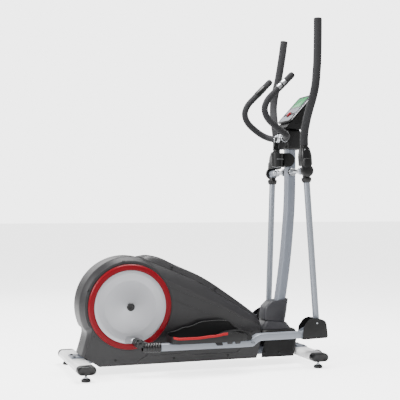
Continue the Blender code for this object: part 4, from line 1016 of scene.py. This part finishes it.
def make_fixed_bar():
    """A bent steel bar in foam sleeves, with plugs at its ends and a split hand sensor on each side."""
    line = bar_line()
    core = tube(line, 0.0100, 0.002, 32, (1, 0, 0))
    piece("fixed_bar_core", core, BLACK_COAT, "root", "black_paint", "fixed_handlebar")
    for name, low, high in (("right", 0.0055, 0.482), ("left", 0.518, 0.9945)):
        sleeve = tube(stretch_of(line, low, high), BAR_FOAM_R, 0.0040, 40, (1, 0, 0))
        foam = piece(f"fixed_bar_foam_{name}", sleeve, FOAM, "root", "foam")
    for name, side in SIDES.items():
        low, high = at(0.966, side * 0.1363, 1.3520), at(1.004, side * 0.1380, 1.3890)
        way = (high - low).normalized()
        rearward, outward = Vector((-way.z, 0, way.x)), Vector((0, side, 0))
        shells = []
        for start, end in ((0.0, 0.023), (0.030, 0.053)):
            edge = []
            for radius, turns in ((SENSOR_R, range(-10, 101, 10)), (SENSOR_BORE_R, range(100, -11, -10))):
                edge += [(radius * math.cos(math.radians(turn)), radius * math.sin(math.radians(turn)))
                         for turn in turns]
            rows = [[low + way * along + rearward * x * k + outward * y * k for x, y in edge]
                    for along, k in ((start, 0.985), (start + 0.001, 1.0), (end - 0.001, 1.0), (end, 0.985))]
            shells.append(loft(rows))
        piece(f"hand_sensor_{name}", merged(*shells), BRUSHED_STEEL, "root", "steel", f"pulse_sensor_{name}")
        band = tube([low - way * 0.003, low + way * 0.026, low + way * 0.056], SENSOR_BAND_R, 0.001, 40,
                    (0, 1, 0))
        piece(f"sensor_holder_{name}", band, BLACK_ABS, "root", "black_plastic")
        tip = (line[0] - line[1]).normalized() if side < 0 else (line[-1] - line[-2]).normalized()
        end = line[0] if side < 0 else line[-1]
        plug = turned([(0, 0.0012), (0.0080, 0.0010), (0.0125, -0.0006), (0.0130, -0.0022),
                       (0.0105, -0.0030), (0, -0.0030)],
                      end - tip * 0.0004, tip, 40)
        piece(f"fixed_bar_plug_{name}", plug, BLACK_ABS, "root", "black_plastic")


def make_clamp():
    """The bright clamp under the console: two saddles round the bar, two bolts and a stay."""
    line = bar_line()
    low, high = at(1.026, -0.020, 1.100), at(1.0620, 0.020, 1.140)
    body = block(low, high, 0.006, 4)
    split = block((low.x - 0.01, -0.03, 1.1185), (1.0455 + REAR_X, 0.03, 1.1215), 0.0004, 1)
    bore = tube(line, BAR_R + 0.0012, 0.001, 40, (1, 0, 0))
    piece("bar_clamp", carved(body, bore, split), BRUSHED_STEEL, "root", "steel", "handlebar_clamp")
    heads = [hex_bolt(at(1.0262, y, z), (-1, 0, 0), 0.0045, 0.004)
             for y in (-0.011, 0.011) for z in (1.106, 1.134)]
    piece("clamp_bolts", merged(*heads), ZINC, "root", "steel")
    for name, side in SIDES.items():
        wing = softened([(1.012, 1.070), (1.034, 1.060), (1.066, 1.092), (1.066, 1.150), (1.040, 1.160),
                         (1.030, 1.128)],
                        0.008)
        stay = plate([(at(p.x, 0, p.y).x, p.y) for p in wing], side * 0.0300 - 0.0012,
                     side * 0.0300 + 0.0012, 0.0005, 2)
        bar_hole = rod(at(1.0455, side * 0.02, 1.1205), at(1.0455, side * 0.04, 1.1205), BAR_R + 0.0022)
        piece(f"clamp_stay_{name}", carved(stay, bar_hole), BLACK_COAT, "root", "black_paint")
        ring = turned([(0.0160, 0.0), (0.0192, 0.0), (0.0200, 0.0010), (0.0200, 0.0040), (0.0190, 0.0050),
                       (0.0160, 0.0050),
                       (0.0160, 0.0)], at(1.0430, side * 0.0440, 1.1205), (0, side, 0), 48)
        piece(f"bar_ring_{name}", ring, ZINC, "root", "steel")


def make_head_cover():
    """The black cover over the mast's top, with a parting groove and two side screws."""
    cover = block(at(1.0625, -0.036, 1.064), at(1.136, 0.036, 1.166), 0.010, 5)
    tunnel = block(at(1.0655, -0.0295, 1.05), at(1.1145, 0.0295, MAST_TOP + 0.002), 0.003)
    seam = [block(at(1.0550, low, 1.1352), at(1.140, high, 1.1362), 0.0002, 1)
            for low, high in ((-0.040, -0.0353), (0.0353, 0.040))]
    piece("mast_head_cover", carved(cover, tunnel, *seam), BLACK_ABS, "root", "black_plastic", "head_cover")
    seats = [(at(s, side * 0.0357, 1.082), Vector((0, side, 0)))
             for side in SIDES.values() for s in (1.078, 1.122)]
    piece("head_cover_screws", screws(seats, 0.0036, 0.0012, BLACK_COAT), BLACK_COAT, "root", "black_plastic")


CONSOLE_LOW, CONSOLE_HIGH, CONSOLE_HALF = Vector((1.060, 0, 1.200)), Vector((1.185, 0, 1.336)), 0.077
# The button's place along the sloped face, from the face's middle.
BUTTON_X = -0.042


def make_console():
    """A wedge housing with a tilted face: a display under a bezel, a silver panel and one round button."""
    slope = math.atan2(CONSOLE_HIGH.z - CONSOLE_LOW.z, CONSOLE_HIGH.x - CONSOLE_LOW.x)
    half = (CONSOLE_HIGH - CONSOLE_LOW).length / 2
    middle = (CONSOLE_LOW + CONSOLE_HIGH) / 2
    tilt = Matrix.Translation(at(middle.x, 0, middle.z)) @ Matrix.Rotation(-slope, 4, "Y")
    side_view = softened([(1.066, 1.198), (1.186, 1.328), (1.199, 1.316), (1.176, 1.232), (1.150, 1.170),
                          (1.1385, 1.1665), (1.062, 1.1668), (1.040, 1.176)], 0.006)
    shell = plate([(at(p.x, 0, 0).x, p.y) for p in side_view], -0.070, 0.070, 0.006, 4)
    slots = [block(at(1.090 + i * 0.0075, low, 1.190 + i * 0.002),
                   at(1.0925 + i * 0.0075, high, 1.206 + i * 0.010), 0.0005, 1)
             for low, high in ((-0.072, -0.0685), (0.0685, 0.072)) for i in range(6)]
    piece("console_shell", carved(shell, *slots), BLACK_ABS, "root", "black_plastic", "console_housing")

    def slab(x0, x1, y, z0, z1, edge, corner):
        """A flat part on the sloped face, with round corners and a softened top edge."""
        outline = softened([(x0, -y), (x1, -y), (x1, y), (x0, y)], corner, 6)
        rows = [(1.0, z0), (1.0, z1 - edge), (1 - 0.4 * edge / y, z1 - 0.3 * edge), (1 - 1.2 * edge / y, z1)]
        cx = (x0 + x1) / 2
        return loft([[Vector((cx + (p.x - cx) * k, p.y * k, z)) for p in outline] for k, z in rows])

    frame_part = slab(-half, half, CONSOLE_HALF, 0.0, 0.0098, 0.003, 0.016)
    recess = slab(-half + 0.006, half - 0.006, CONSOLE_HALF - 0.006, 0.0078, 0.02, 0.001, 0.012)
    well = rod((BUTTON_X, 0, 0.0042), (BUTTON_X, 0, 0.03), 0.0146, sides=56)
    piece("console_rim", carved(frame_part, recess, well), BLACK_ABS, "root", "black_plastic",
          "console_panel", place=tilt)
    face = slab(-half + 0.0066, half - 0.0066, CONSOLE_HALF - 0.0066, 0.0076, 0.0086, 0.0005, 0.0115)
    piece("console_face", carved(face, rod((BUTTON_X, 0, 0.0), (BUTTON_X, 0, 0.03), 0.0152, sides=56)),
          GREY_LABEL, "root",
          "silver_plastic", place=tilt)
    bezel = slab(0.002, half - 0.010, 0.062, 0.0082, 0.0096, 0.0008, 0.010)
    piece("display_bezel", bezel, GLOSS_BLACK, "root", "black_plastic", place=tilt)
    glass = slab(0.010, half - 0.016, 0.055, 0.0090, 0.0102, 0.0004, 0.005)
    piece("display_window", glass, DISPLAY, "root", "silver_plastic", place=tilt)
    collar = turned([(0.0150, 0.0080), (0.0192, 0.0080), (0.0185, 0.0096), (0.0158, 0.0100),
                     (0.0150, 0.0092), (0.0150, 0.0080)],
                    (BUTTON_X, 0, 0), (0, 0, 1), 56)
    pads = []
    for y in (-0.052, -0.030, 0.030, 0.052):
        pad = slab(-0.050, -0.034, 0.010, 0.0, 0.0014, 0.0005, 0.005)
        pad.transform(Matrix.Translation((0, y, 0.0084)) @ Matrix.Diagonal((1, 0.75, 1, 1)))
        pads.append(pad)
    piece("console_keys", merged(collar, *pads), BLACK_ABS, "root", "black_plastic", place=tilt)
    button = [(0.0, 0.0092), (0.0070, 0.0094), (0.0112, 0.0100), (0.0130, 0.0092), (0.0139, 0.0070),
              (0.0140, 0.0), (0.0, 0.0)]
    piece("select_knob", turned(button, (BUTTON_X, 0, 0.0062), (0, 0, 1), 56), RED_ABS, "select_button",
          "red_plastic", "select_button", place=tilt)
    trims = []
    for side in SIDES.values():
        line = [(x, side * (CONSOLE_HALF - 0.0004), 0.0040) for x in (-half + 0.012, 0.0, half - 0.012)]
        trims.append(tube(smooth_path(line, 4), 0.0026, 0.0008, 16))
    piece("console_side_trim", merged(*trims), SILVER_LACQUER, "root", "silver_plastic", place=tilt)


make_mast()
make_cup_holder()
make_fixed_bar()
make_clamp()
make_head_cover()
make_console()


# ---------------------------------------------------------------- swing arms and their grips
TUBE_R, GRIP_R = 0.0155, 0.0198
HANDLE_LINE = [(0.010, 0.186, 0.0605), (0.010, 0.186, 0.122), (0.011, 0.192, 0.173), (0.013, 0.218, 0.230),
               (0.018, 0.251, 0.288), (0.026, 0.284, 0.346), (0.036, 0.3005, 0.403), (0.046, 0.3005, 0.461),
               (0.056, 0.297, 0.518), (0.070, 0.291, 0.634), (0.078, 0.288, 0.716)]

# The foam starts one point up the handle's smoothed line, six steps to a point.
GRIP_START = 6


def make_swing_arm(name, side):
    """The silver tube with its pivot hub and lower eye, a weld bead at each end and a black collar."""
    lay, body, y = swing_frame(name), f"swing_{name}", side * SWING_Y
    stem = tube([(0, y, -0.0010), (0, y, -0.30), (0, y, -SWING_LENGTH + 0.0005)], TUBE_R, 0.001, 48)
    hub = turned([(0.0102, -0.0315), (0.0170, -0.0315), (0.0180, -0.0305), (0.0180, 0.0305),
                  (0.0170, 0.0315), (0.0102, 0.0315),
                  (0.0102, -0.0315)], (0, side * 0.1895, 0), (0, side, 0), 48)
    lower = turned([(0.0075, -0.0175), (0.0180, -0.0175), (0.0190, -0.0165), (0.0190, 0.0165),
                    (0.0180, 0.0175), (0.0075, 0.0175),
                    (0.0075, -0.0175)], (0, y, -SWING_LENGTH), (0, side, 0), 48)
    bores = [rod((0, side * 0.14, 0), (0, side * 0.24, 0), 0.0102),
             rod((0, y - 0.03, -SWING_LENGTH), (0, y + 0.03, -SWING_LENGTH), 0.0075)]
    piece(f"swing_tube_{name}", merged(carved(stem, *bores), hub, lower), SILVER_TUBE, body, "pale_paint",
          f"swing_arm_{name}", place=lay)
    bead = [(TUBE_R - 0.0006, -0.003), (TUBE_R + 0.0022, -0.0008), (TUBE_R + 0.0024, 0.0006),
            (TUBE_R - 0.0006, 0.0030), (TUBE_R - 0.0006, -0.003)]
    welds = [turned(bead, (0, y, z), (0, 0, 1), 48) for z in (-0.0180, -SWING_LENGTH + 0.0192)]
    piece(f"swing_welds_{name}", merged(*welds), SILVER_TUBE, body, "pale_paint", place=lay)
    collar = turned([(0.0159, -0.0190), (0.0172, -0.0190), (0.0176, -0.0205), (0.0176, -0.0325),
                     (0.0225, -0.0335), (0.0240, -0.0355),
                     (0.0240, -0.0470), (0.0226, -0.0500), (0.0192, -0.0565), (0.0180, -0.0572),
                     (0.0159, -0.0572), (0.0159, -0.0190)], (0, y, 0), (0, 0, 1), 56)
    piece(f"collar_{name}", collar, BLACK_ABS, body, "black_plastic", f"swing_collar_{name}", place=lay)
    # Outside the hub: a bright bush, then a round black cap that hides the axle's bolt.
    bush = turned([(0.0102, 0.0), (0.0172, 0.0), (0.0182, 0.0012), (0.0182, 0.0030), (0.0102, 0.0030),
                   (0.0102, 0.0)],
                  (0, side * 0.2212, 0), (0, side, 0), 56)
    piece(f"hub_bush_{name}", bush, ZINC, body, "steel", place=lay)


def make_sleeve(name, side):
    """A black two-part moulding that clamps the handle above the pivot, with a round cap and its tie."""
    lay, body = swing_frame(name), f"swing_{name}"
    low, high = sorted((side * 0.1590, side * 0.2235))
    rows = []
    for z, grow in ((0.0225, -0.007), (0.0245, -0.002), (0.0290, 0.0), (0.0700, 0.0), (0.0860, -0.0015),
                    (0.1080, -0.0065), (0.1125, -0.0085), (0.1140, -0.0120)):
        rear, front, inner, outer = -0.022 - grow, 0.035 + grow, low - grow, high + grow
        corners = [(rear, inner), (front, inner), (front, outer), (rear, outer)]
        rows.append([Vector((p.x, p.y, z)) for p in softened(corners, 0.020, 6)])
    seam = block((-0.03, side * 0.1905, 0.0), (0.045, side * 0.1913, 0.13), 0.0001, 1)
    shell = carved(loft(rows), seam)
    piece(f"sleeve_shell_{name}", shell, BLACK_ABS, body, "black_plastic", f"pivot_sleeve_{name}", place=lay)
    cap = turned([(0.0, 0.0118), (0.0150, 0.0112), (0.0250, 0.0090), (0.0300, 0.0055), (0.0315, 0.0010),
                  (0.0315, -0.0125),
                  (0.0290, -0.0125), (0.0, -0.0125)], (0, side * 0.2240, 0), (0, side, 0), 72)
    piece(f"pivot_cap_{name}", cap, BLACK_ABS, body, "black_plastic", place=lay)
    low_y, high_y = sorted((side * 0.2120, side * 0.2350))
    tie = block((-0.018, low_y, 0.010), (0.020, high_y, 0.060), 0.006, 4)
    piece(f"cap_tie_{name}", tie, BLACK_ABS, body, "black_plastic", place=lay)
    spots = [(Vector((x, side * 0.2228, 0.103)), Vector((0, side, 0))) for x in (-0.006, 0.019)]
    piece(f"sleeve_screws_{name}", screws(spots, 0.0034, 0.0012, ZINC), ZINC, body, "steel", place=lay)


def make_handle(name, side):
    """The bent upper tube: bare and black at the sleeve, and in foam above a ferrule."""
    lay, body = swing_frame(name), f"swing_{name}"
    line = smooth_path([(x, side * y, z) for x, y, z in HANDLE_LINE], 6)
    piece(f"handle_core_{name}", tube(line, 0.0120, 0.002, 32), BLACK_COAT, body, "black_paint",
          f"handle_tube_{name}", place=lay)
    foam = tube([*line[GRIP_START:], line[-1] + (line[-1] - line[-2]).normalized() * 0.0055], GRIP_R,
                0.0040, 44)
    grip = piece(f"handle_foam_{name}", foam, FOAM, body, "foam", f"foam_grip_{name}", place=lay)
    foot, way = line[GRIP_START], (line[GRIP_START] - line[GRIP_START + 1]).normalized()
    ferrule = turned([(0.0121, -0.004), (0.0170, -0.004), (0.0188, -0.002), (0.0192, 0.0030),
                      (0.0180, 0.0062), (0.0121, 0.0068), (0.0121, -0.004)], foot + way * 0.0030, way, 48)
    piece(f"grip_ferrule_{name}", ferrule, BLACK_ABS, body, "black_plastic", place=lay)


# ---------------------------------------------------------------- pedal arms and pedals
ARM_LINE = [(0.3520, 0.132), (0.560, 0.132), (0.778, 0.132), (0.802, 0.138), (0.830, 0.154), (0.856, 0.158),
            (0.970, 0.159), (1.088, 0.160)]
# Where the right crank pin stands.
PIN_S, PIN_Z = crank_pin(SIDES["right"]).x - REAR_X, crank_pin(SIDES["right"]).z
EAR = [(1.050, 0.150), (1.160, 0.158), (1.168, 0.184), (1.156, 0.206), (1.110, 0.208), (1.050, 0.176)]


def arm_outline(points, reach, steps=5):
    """The softened outline of a part of a pedal arm, from (s, z) points."""
    flat = [(on_arm(s, 0, z).x, on_arm(s, 0, z).z) for s, z in points]
    return [(p.x, p.y) for p in softened(flat, reach, steps)]


def make_arm(name, side):
    """A cranked rectangular tube: a round boss and stub at the crank, a fork round the swing arm."""
    lay, body, y = arm_frame(name), f"pedal_arm_{name}", side * SWING_Y
    line = smooth_path([on_arm(s, y, z) for s, z in ARM_LINE], 4)
    section = softened([(-0.020, -0.017), (0.020, -0.017), (0.020, 0.017), (-0.020, 0.017)], 0.008, 4)
    beam = sweep(line, [(p.x, p.y) for p in section])
    piece(f"arm_beam_{name}", beam, SILVER_TUBE, body, "pale_paint", f"pedal_arm_{name}", place=lay)
    boss = turned([(0.0092, 0.1312), (0.0158, 0.1312), (0.0170, 0.1325), (0.0170, 0.2210), (0.0158, 0.2220),
                   (0.0, 0.2220), (0.0, 0.1650), (0.0092, 0.1650),
                   (0.0092, 0.1312)], on_arm(PIN_S, 0, PIN_Z), (0, side, 0), 56)
    stub = tube([on_arm(PIN_S + 0.010, y, PIN_Z + 0.0005), on_arm(0.30, y, 0.134), on_arm(0.362, y, 0.132)],
                0.0155, 0.001, 40)
    piece(f"arm_boss_{name}", merged(boss, stub), BLACK_COAT, body, "black_paint", place=lay)
    bolt = turned([(0.0, 0.0040), (0.0050, 0.0038), (0.0085, 0.0026), (0.0100, 0.0), (0.0, 0.0)],
                  on_arm(PIN_S, side * 0.2216, PIN_Z), (0, side, 0), 40)
    piece(f"arm_end_cap_{name}", bolt, BLACK_ABS, body, "black_plastic", place=lay)
    ears = [plate(arm_outline(EAR, 0.012), y + inner, y + outer, 0.0008, 2)
            for inner, outer in ((0.0190, 0.0230), (-0.0230, -0.0190))]
    piece(f"arm_fork_{name}", merged(*ears), SILVER_TUBE, body, "pale_paint", place=lay)
    pivot = Vector((0, y, 0))
    bolt = turned([(0.0, 0.0262), (0.0055, 0.0262), (0.0085, 0.0245), (0.0088, 0.0232), (0.0060, 0.0230),
                   (0.0060, -0.0230), (0.0088, -0.0232), (0.0085, -0.0245), (0.0055, -0.0262),
                   (0.0, -0.0262)], pivot, (0, side, 0), 40)
    piece(f"fork_pin_{name}", bolt, ZINC, body, "steel", place=lay)


BELLOWS_RIBS = 6


def make_bearing_cover(name, side):
    """Black ribbed bellows over the crank bearing and the stub behind it."""
    lay, body, y = arm_frame(name), f"pedal_arm_{name}", side * SWING_Y
    barrel = turned([(0.0172, 0.1500), (0.0200, 0.1500), (0.0215, 0.1515), (0.0215, 0.1660),
                     (0.0205, 0.1675), (0.0215, 0.1690),
                     (0.0215, 0.1900), (0.0205, 0.1915), (0.0215, 0.1930), (0.0215, 0.2105),
                     (0.0200, 0.2120), (0.0172, 0.2120),
                     (0.0172, 0.1500)], on_arm(PIN_S, 0, PIN_Z), (0, side, 0), 56)
    start, end = on_arm(0.266, y, 0.134), on_arm(0.3515, y, 0.132)
    way, length = (end - start).normalized(), (end - start).length
    profile = [(0.0160, 0.0), (0.0190, 0.0)]
    pitch = length * 0.88 / BELLOWS_RIBS
    for i in range(BELLOWS_RIBS):
        a = length * 0.10 + pitch * i
        crest = 0.0205 + 0.0035 * min(1.0, 0.5 + i / BELLOWS_RIBS)
        profile += [(crest - 0.0022, a), (crest, a + 0.22 * pitch), (crest, a + 0.68 * pitch),
                    (crest - 0.0022, a + 0.90 * pitch)]
    profile += [(0.0215, length), (0.0160, length), (0.0160, 0.0)]
    bellows = turned(profile, start, way, 56)
    piece(f"bearing_bellows_{name}", merged(barrel, bellows), BLACK_ABS, body, "black_plastic",
          f"bearing_cover_{name}", place=lay)


PEDAL_PLAN = [(0.395, 0.90, 0.186, 0.186), (0.420, 1.0, 0.182, 0.192), (0.500, 1.0, 0.182, 0.212),
              (0.590, 1.0, 0.188, 0.236),
              (0.650, 1.0, 0.196, 0.238), (0.700, 0.92, 0.196, 0.234), (0.745, 0.80, 0.186, 0.200),
              (0.770, 0.62, 0.172, 0.172)]
PEDAL_START, PEDAL_END = PEDAL_PLAN[0][0], PEDAL_PLAN[-1][0]
PEDAL_HALF, PEDAL_FLOOR, PEDAL_WALL = 0.074, 0.1502, 0.0045
# The rim turns from red to black here, and the mat has this many ribs.
RED_RIM_END, MAT_RIBS = 0.655, 24


def plan_at(s):
    """Half width share, outer wall top and inner wall top of the pedal at one place."""
    for before, after in zip(PEDAL_PLAN, PEDAL_PLAN[1:]):
        if before[0] <= s <= after[0]:
            t = (s - before[0]) / (after[0] - before[0])
            t = t * t * (3 - 2 * t)
            return [a + (b - a) * t for a, b in zip(before[1:], after[1:])]
    return list(PEDAL_PLAN[-1][1:] if s > PEDAL_PLAN[-1][0] else PEDAL_PLAN[0][1:])


def pedal_loop(shrink, steps=30):
    """The pedal's edge seen from above, as (s, share of half width across)."""
    start, length = PEDAL_START + shrink, PEDAL_END - PEDAL_START - 2 * shrink
    stations = [start + length * i / steps for i in range(steps + 1)]
    outer = [(s, -1.0) for s in stations]
    nose = [(stations[-1], -0.5), (stations[-1], 0.0), (stations[-1], 0.5)]
    inner = [(s, 1.0) for s in reversed(stations)]
    tail = [(stations[0], 0.5), (stations[0], 0.0), (stations[0], -0.5)]
    return outer + nose + inner + tail


def make_pedal(name, side):
    """A moulded tray for the foot: low outer wall, high inner wall, a ribbed mat and a soft rim."""
    lay, body, y = arm_frame(name), f"pedal_arm_{name}", side * SWING_Y

    def spot(s, share, shrink, z):
        half = plan_at(s)[0] * PEDAL_HALF - shrink
        round_off = 1.0
        for end in (PEDAL_START, PEDAL_END):
            near = abs(s - end)
            if near < 0.030:
                round_off = min(round_off, math.sqrt(max(0.0, 1 - (1 - (near + 0.004) / 0.034) ** 2)))
        return on_arm(s, y - side * share * half * (0.55 + 0.45 * round_off), z)

    def top(s, share):
        _, outer, inner = plan_at(s)
        t = (share + 1) / 2
        return outer + (inner - outer) * t * t * (3 - 2 * t)

    outer_loop, inner_loop = pedal_loop(0.0), pedal_loop(PEDAL_WALL)

    def ring_points(loop, shrink, height):
        return [spot(s, share, shrink, height(s, share)) for s, share in loop]

    def flare(s, share, level):
        return PEDAL_FLOOR + (top(s, share) - PEDAL_FLOOR) * level

    rings = [ring_points(outer_loop, 0.012, lambda s, c: PEDAL_FLOOR),
             ring_points(outer_loop, 0.006, lambda s, c: PEDAL_FLOOR + 0.0006),
             ring_points(outer_loop, 0.0025, lambda s, c: PEDAL_FLOOR + 0.006),
             ring_points(outer_loop, 0.0010, lambda s, c: flare(s, c, 0.6)),
             ring_points(outer_loop, 0.0, lambda s, c: top(s, c) - 0.0042),
             ring_points(inner_loop, 0.0022, lambda s, c: top(s, c) - 0.0042),
             ring_points(inner_loop, 0.0040, lambda s, c: flare(s, c, 0.45)),
             ring_points(inner_loop, 0.0080, lambda s, c: PEDAL_FLOOR + 0.0046),
             ring_points(inner_loop, 0.0120, lambda s, c: PEDAL_FLOOR + 0.0036)]
    piece(f"foot_tray_{name}", loft(rings), PEDAL_NYLON, body, "dark_plastic", f"pedal_{name}", place=lay)

    # The soft rim is red along the low outer wall and black round the rest.
    def rim_piece(label, material, slot, pick, drop):
        rows = []
        for s, share in pick:
            lower = drop if share < -0.9 else 0.0
            rows.append([spot(s, share, shrink, top(s, share) - down) for shrink, down in (
                (-0.0003, 0.0036 + lower), (-0.0006, 0.0020), (0.0012, 0.0002), (0.0050, 0.0002),
                (0.0066, 0.0020), (0.0062, 0.0044))])
        piece(f"{label}_{name}", loft(rows), material, body, slot, place=lay)

    red = [(0.399 + (RED_RIM_END - 0.399) * i / 24, -1.0) for i in range(25)]
    rim_piece("tray_rim_red", RED_RUBBER, "red_plastic", red, 0.0075)
    rim_piece("tray_rim_front", PEDAL_NYLON, "dark_plastic",
              [(0.656 + 0.112 * i / 12, -1.0) for i in range(13)]
              + [(0.769, -0.5), (0.769, 0.0), (0.769, 0.5)]
              + [(0.768 - 0.369 * i / 34, 1.0) for i in range(35)]
              + [(0.396, 0.5), (0.396, 0.0), (0.396, -0.5)], 0.0)

    ribs = []
    for i in range(MAT_RIBS):
        s = 0.428 + 0.0125 * i
        half = plan_at(s)[0] * PEDAL_HALF - 0.019
        z = PEDAL_FLOOR + 0.0036
        a, b = on_arm(s - 0.0028, y - half, z), on_arm(s + 0.0028, y + half, z + 0.0026)
        ribs.append(block(a, b, 0.0011, 2))
    piece(f"tray_mat_{name}", merged(*ribs), PEDAL_NYLON, body, "dark_plastic", place=lay)

    # The black block in front of the tray that bolts it down, a strap, and two pads beneath.
    front = arm_outline([(0.618, 0.1503), (0.790, 0.1503), (0.797, 0.160), (0.776, 0.186), (0.730, 0.196),
                         (0.668, 0.190), (0.628, 0.172)], 0.012)
    bracket = plate(front, y - 0.026, y + 0.026, 0.003, 3)
    strap = plate(arm_outline([(0.606, 0.1500), (0.620, 0.1300), (0.650, 0.1300), (0.642, 0.1500)], 0.003),
                  y - 0.0232, y + 0.0232, 0.001, 2)
    groove = sweep([on_arm(s, y, 0.132) for s in (0.60, 0.63, 0.66)],
                   [(-0.0203, -0.03), (0.0203, -0.03), (0.0203, 0.0172), (-0.0203, 0.0172)])
    piece(f"tray_bracket_{name}", merged(bracket, carved(strap, groove)), PEDAL_NYLON, body, "dark_plastic",
          place=lay)
    pads = [block(on_arm(s - 0.014, y - 0.0235, 0.1330), on_arm(s + 0.014, y + 0.0235, 0.1512), 0.0050, 3)
            for s in (0.684, 0.724)]
    piece(f"tray_pads_{name}", merged(*pads), CASING_ABS, body, "casing_plastic", place=lay)


SHOE = [(1.052, 0.1385), (1.187, 0.1425), (1.178, 0.212), (1.170, 0.226), (1.146, 0.236), (1.109, 0.242),
        (1.084, 0.233), (1.058, 0.200)]
SHOE_HOLLOW = [(1.000, 0.1405), (1.080, 0.1415), (1.184, 0.1455), (1.176, 0.212), (1.165, 0.260),
               (1.100, 0.290), (1.000, 0.290)]


def make_joint_cover(name, side):
    """A hollow black shoe, open above and behind, over the joint of the pedal arm and the swing arm."""
    lay, body, y = arm_frame(name), f"pedal_arm_{name}", side * SWING_Y
    cheeks = plate(arm_outline(SHOE, 0.010), y - 0.032, y + 0.032, 0.0028, 3)
    hollow = plate(arm_outline(SHOE_HOLLOW, 0.004, 3), y - 0.0293, y + 0.0293, 0.001, 1)
    piece(f"joint_shoe_{name}", carved(cheeks, hollow), PEDAL_NYLON, body, "dark_plastic",
          f"joint_cover_{name}", place=lay)
    spots = [(on_arm(1.128, y + sign * 0.0317, 0.216), Vector((0, sign, 0))) for sign in (-1, 1)]
    piece(f"shoe_screws_{name}", screws(spots, 0.0042, 0.0012, ZINC), ZINC, body, "steel", place=lay)


for name, side in SIDES.items():
    make_swing_arm(name, side)
    make_sleeve(name, side)
    make_handle(name, side)
    make_arm(name, side)
    make_bearing_cover(name, side)
    make_pedal(name, side)
    make_joint_cover(name, side)
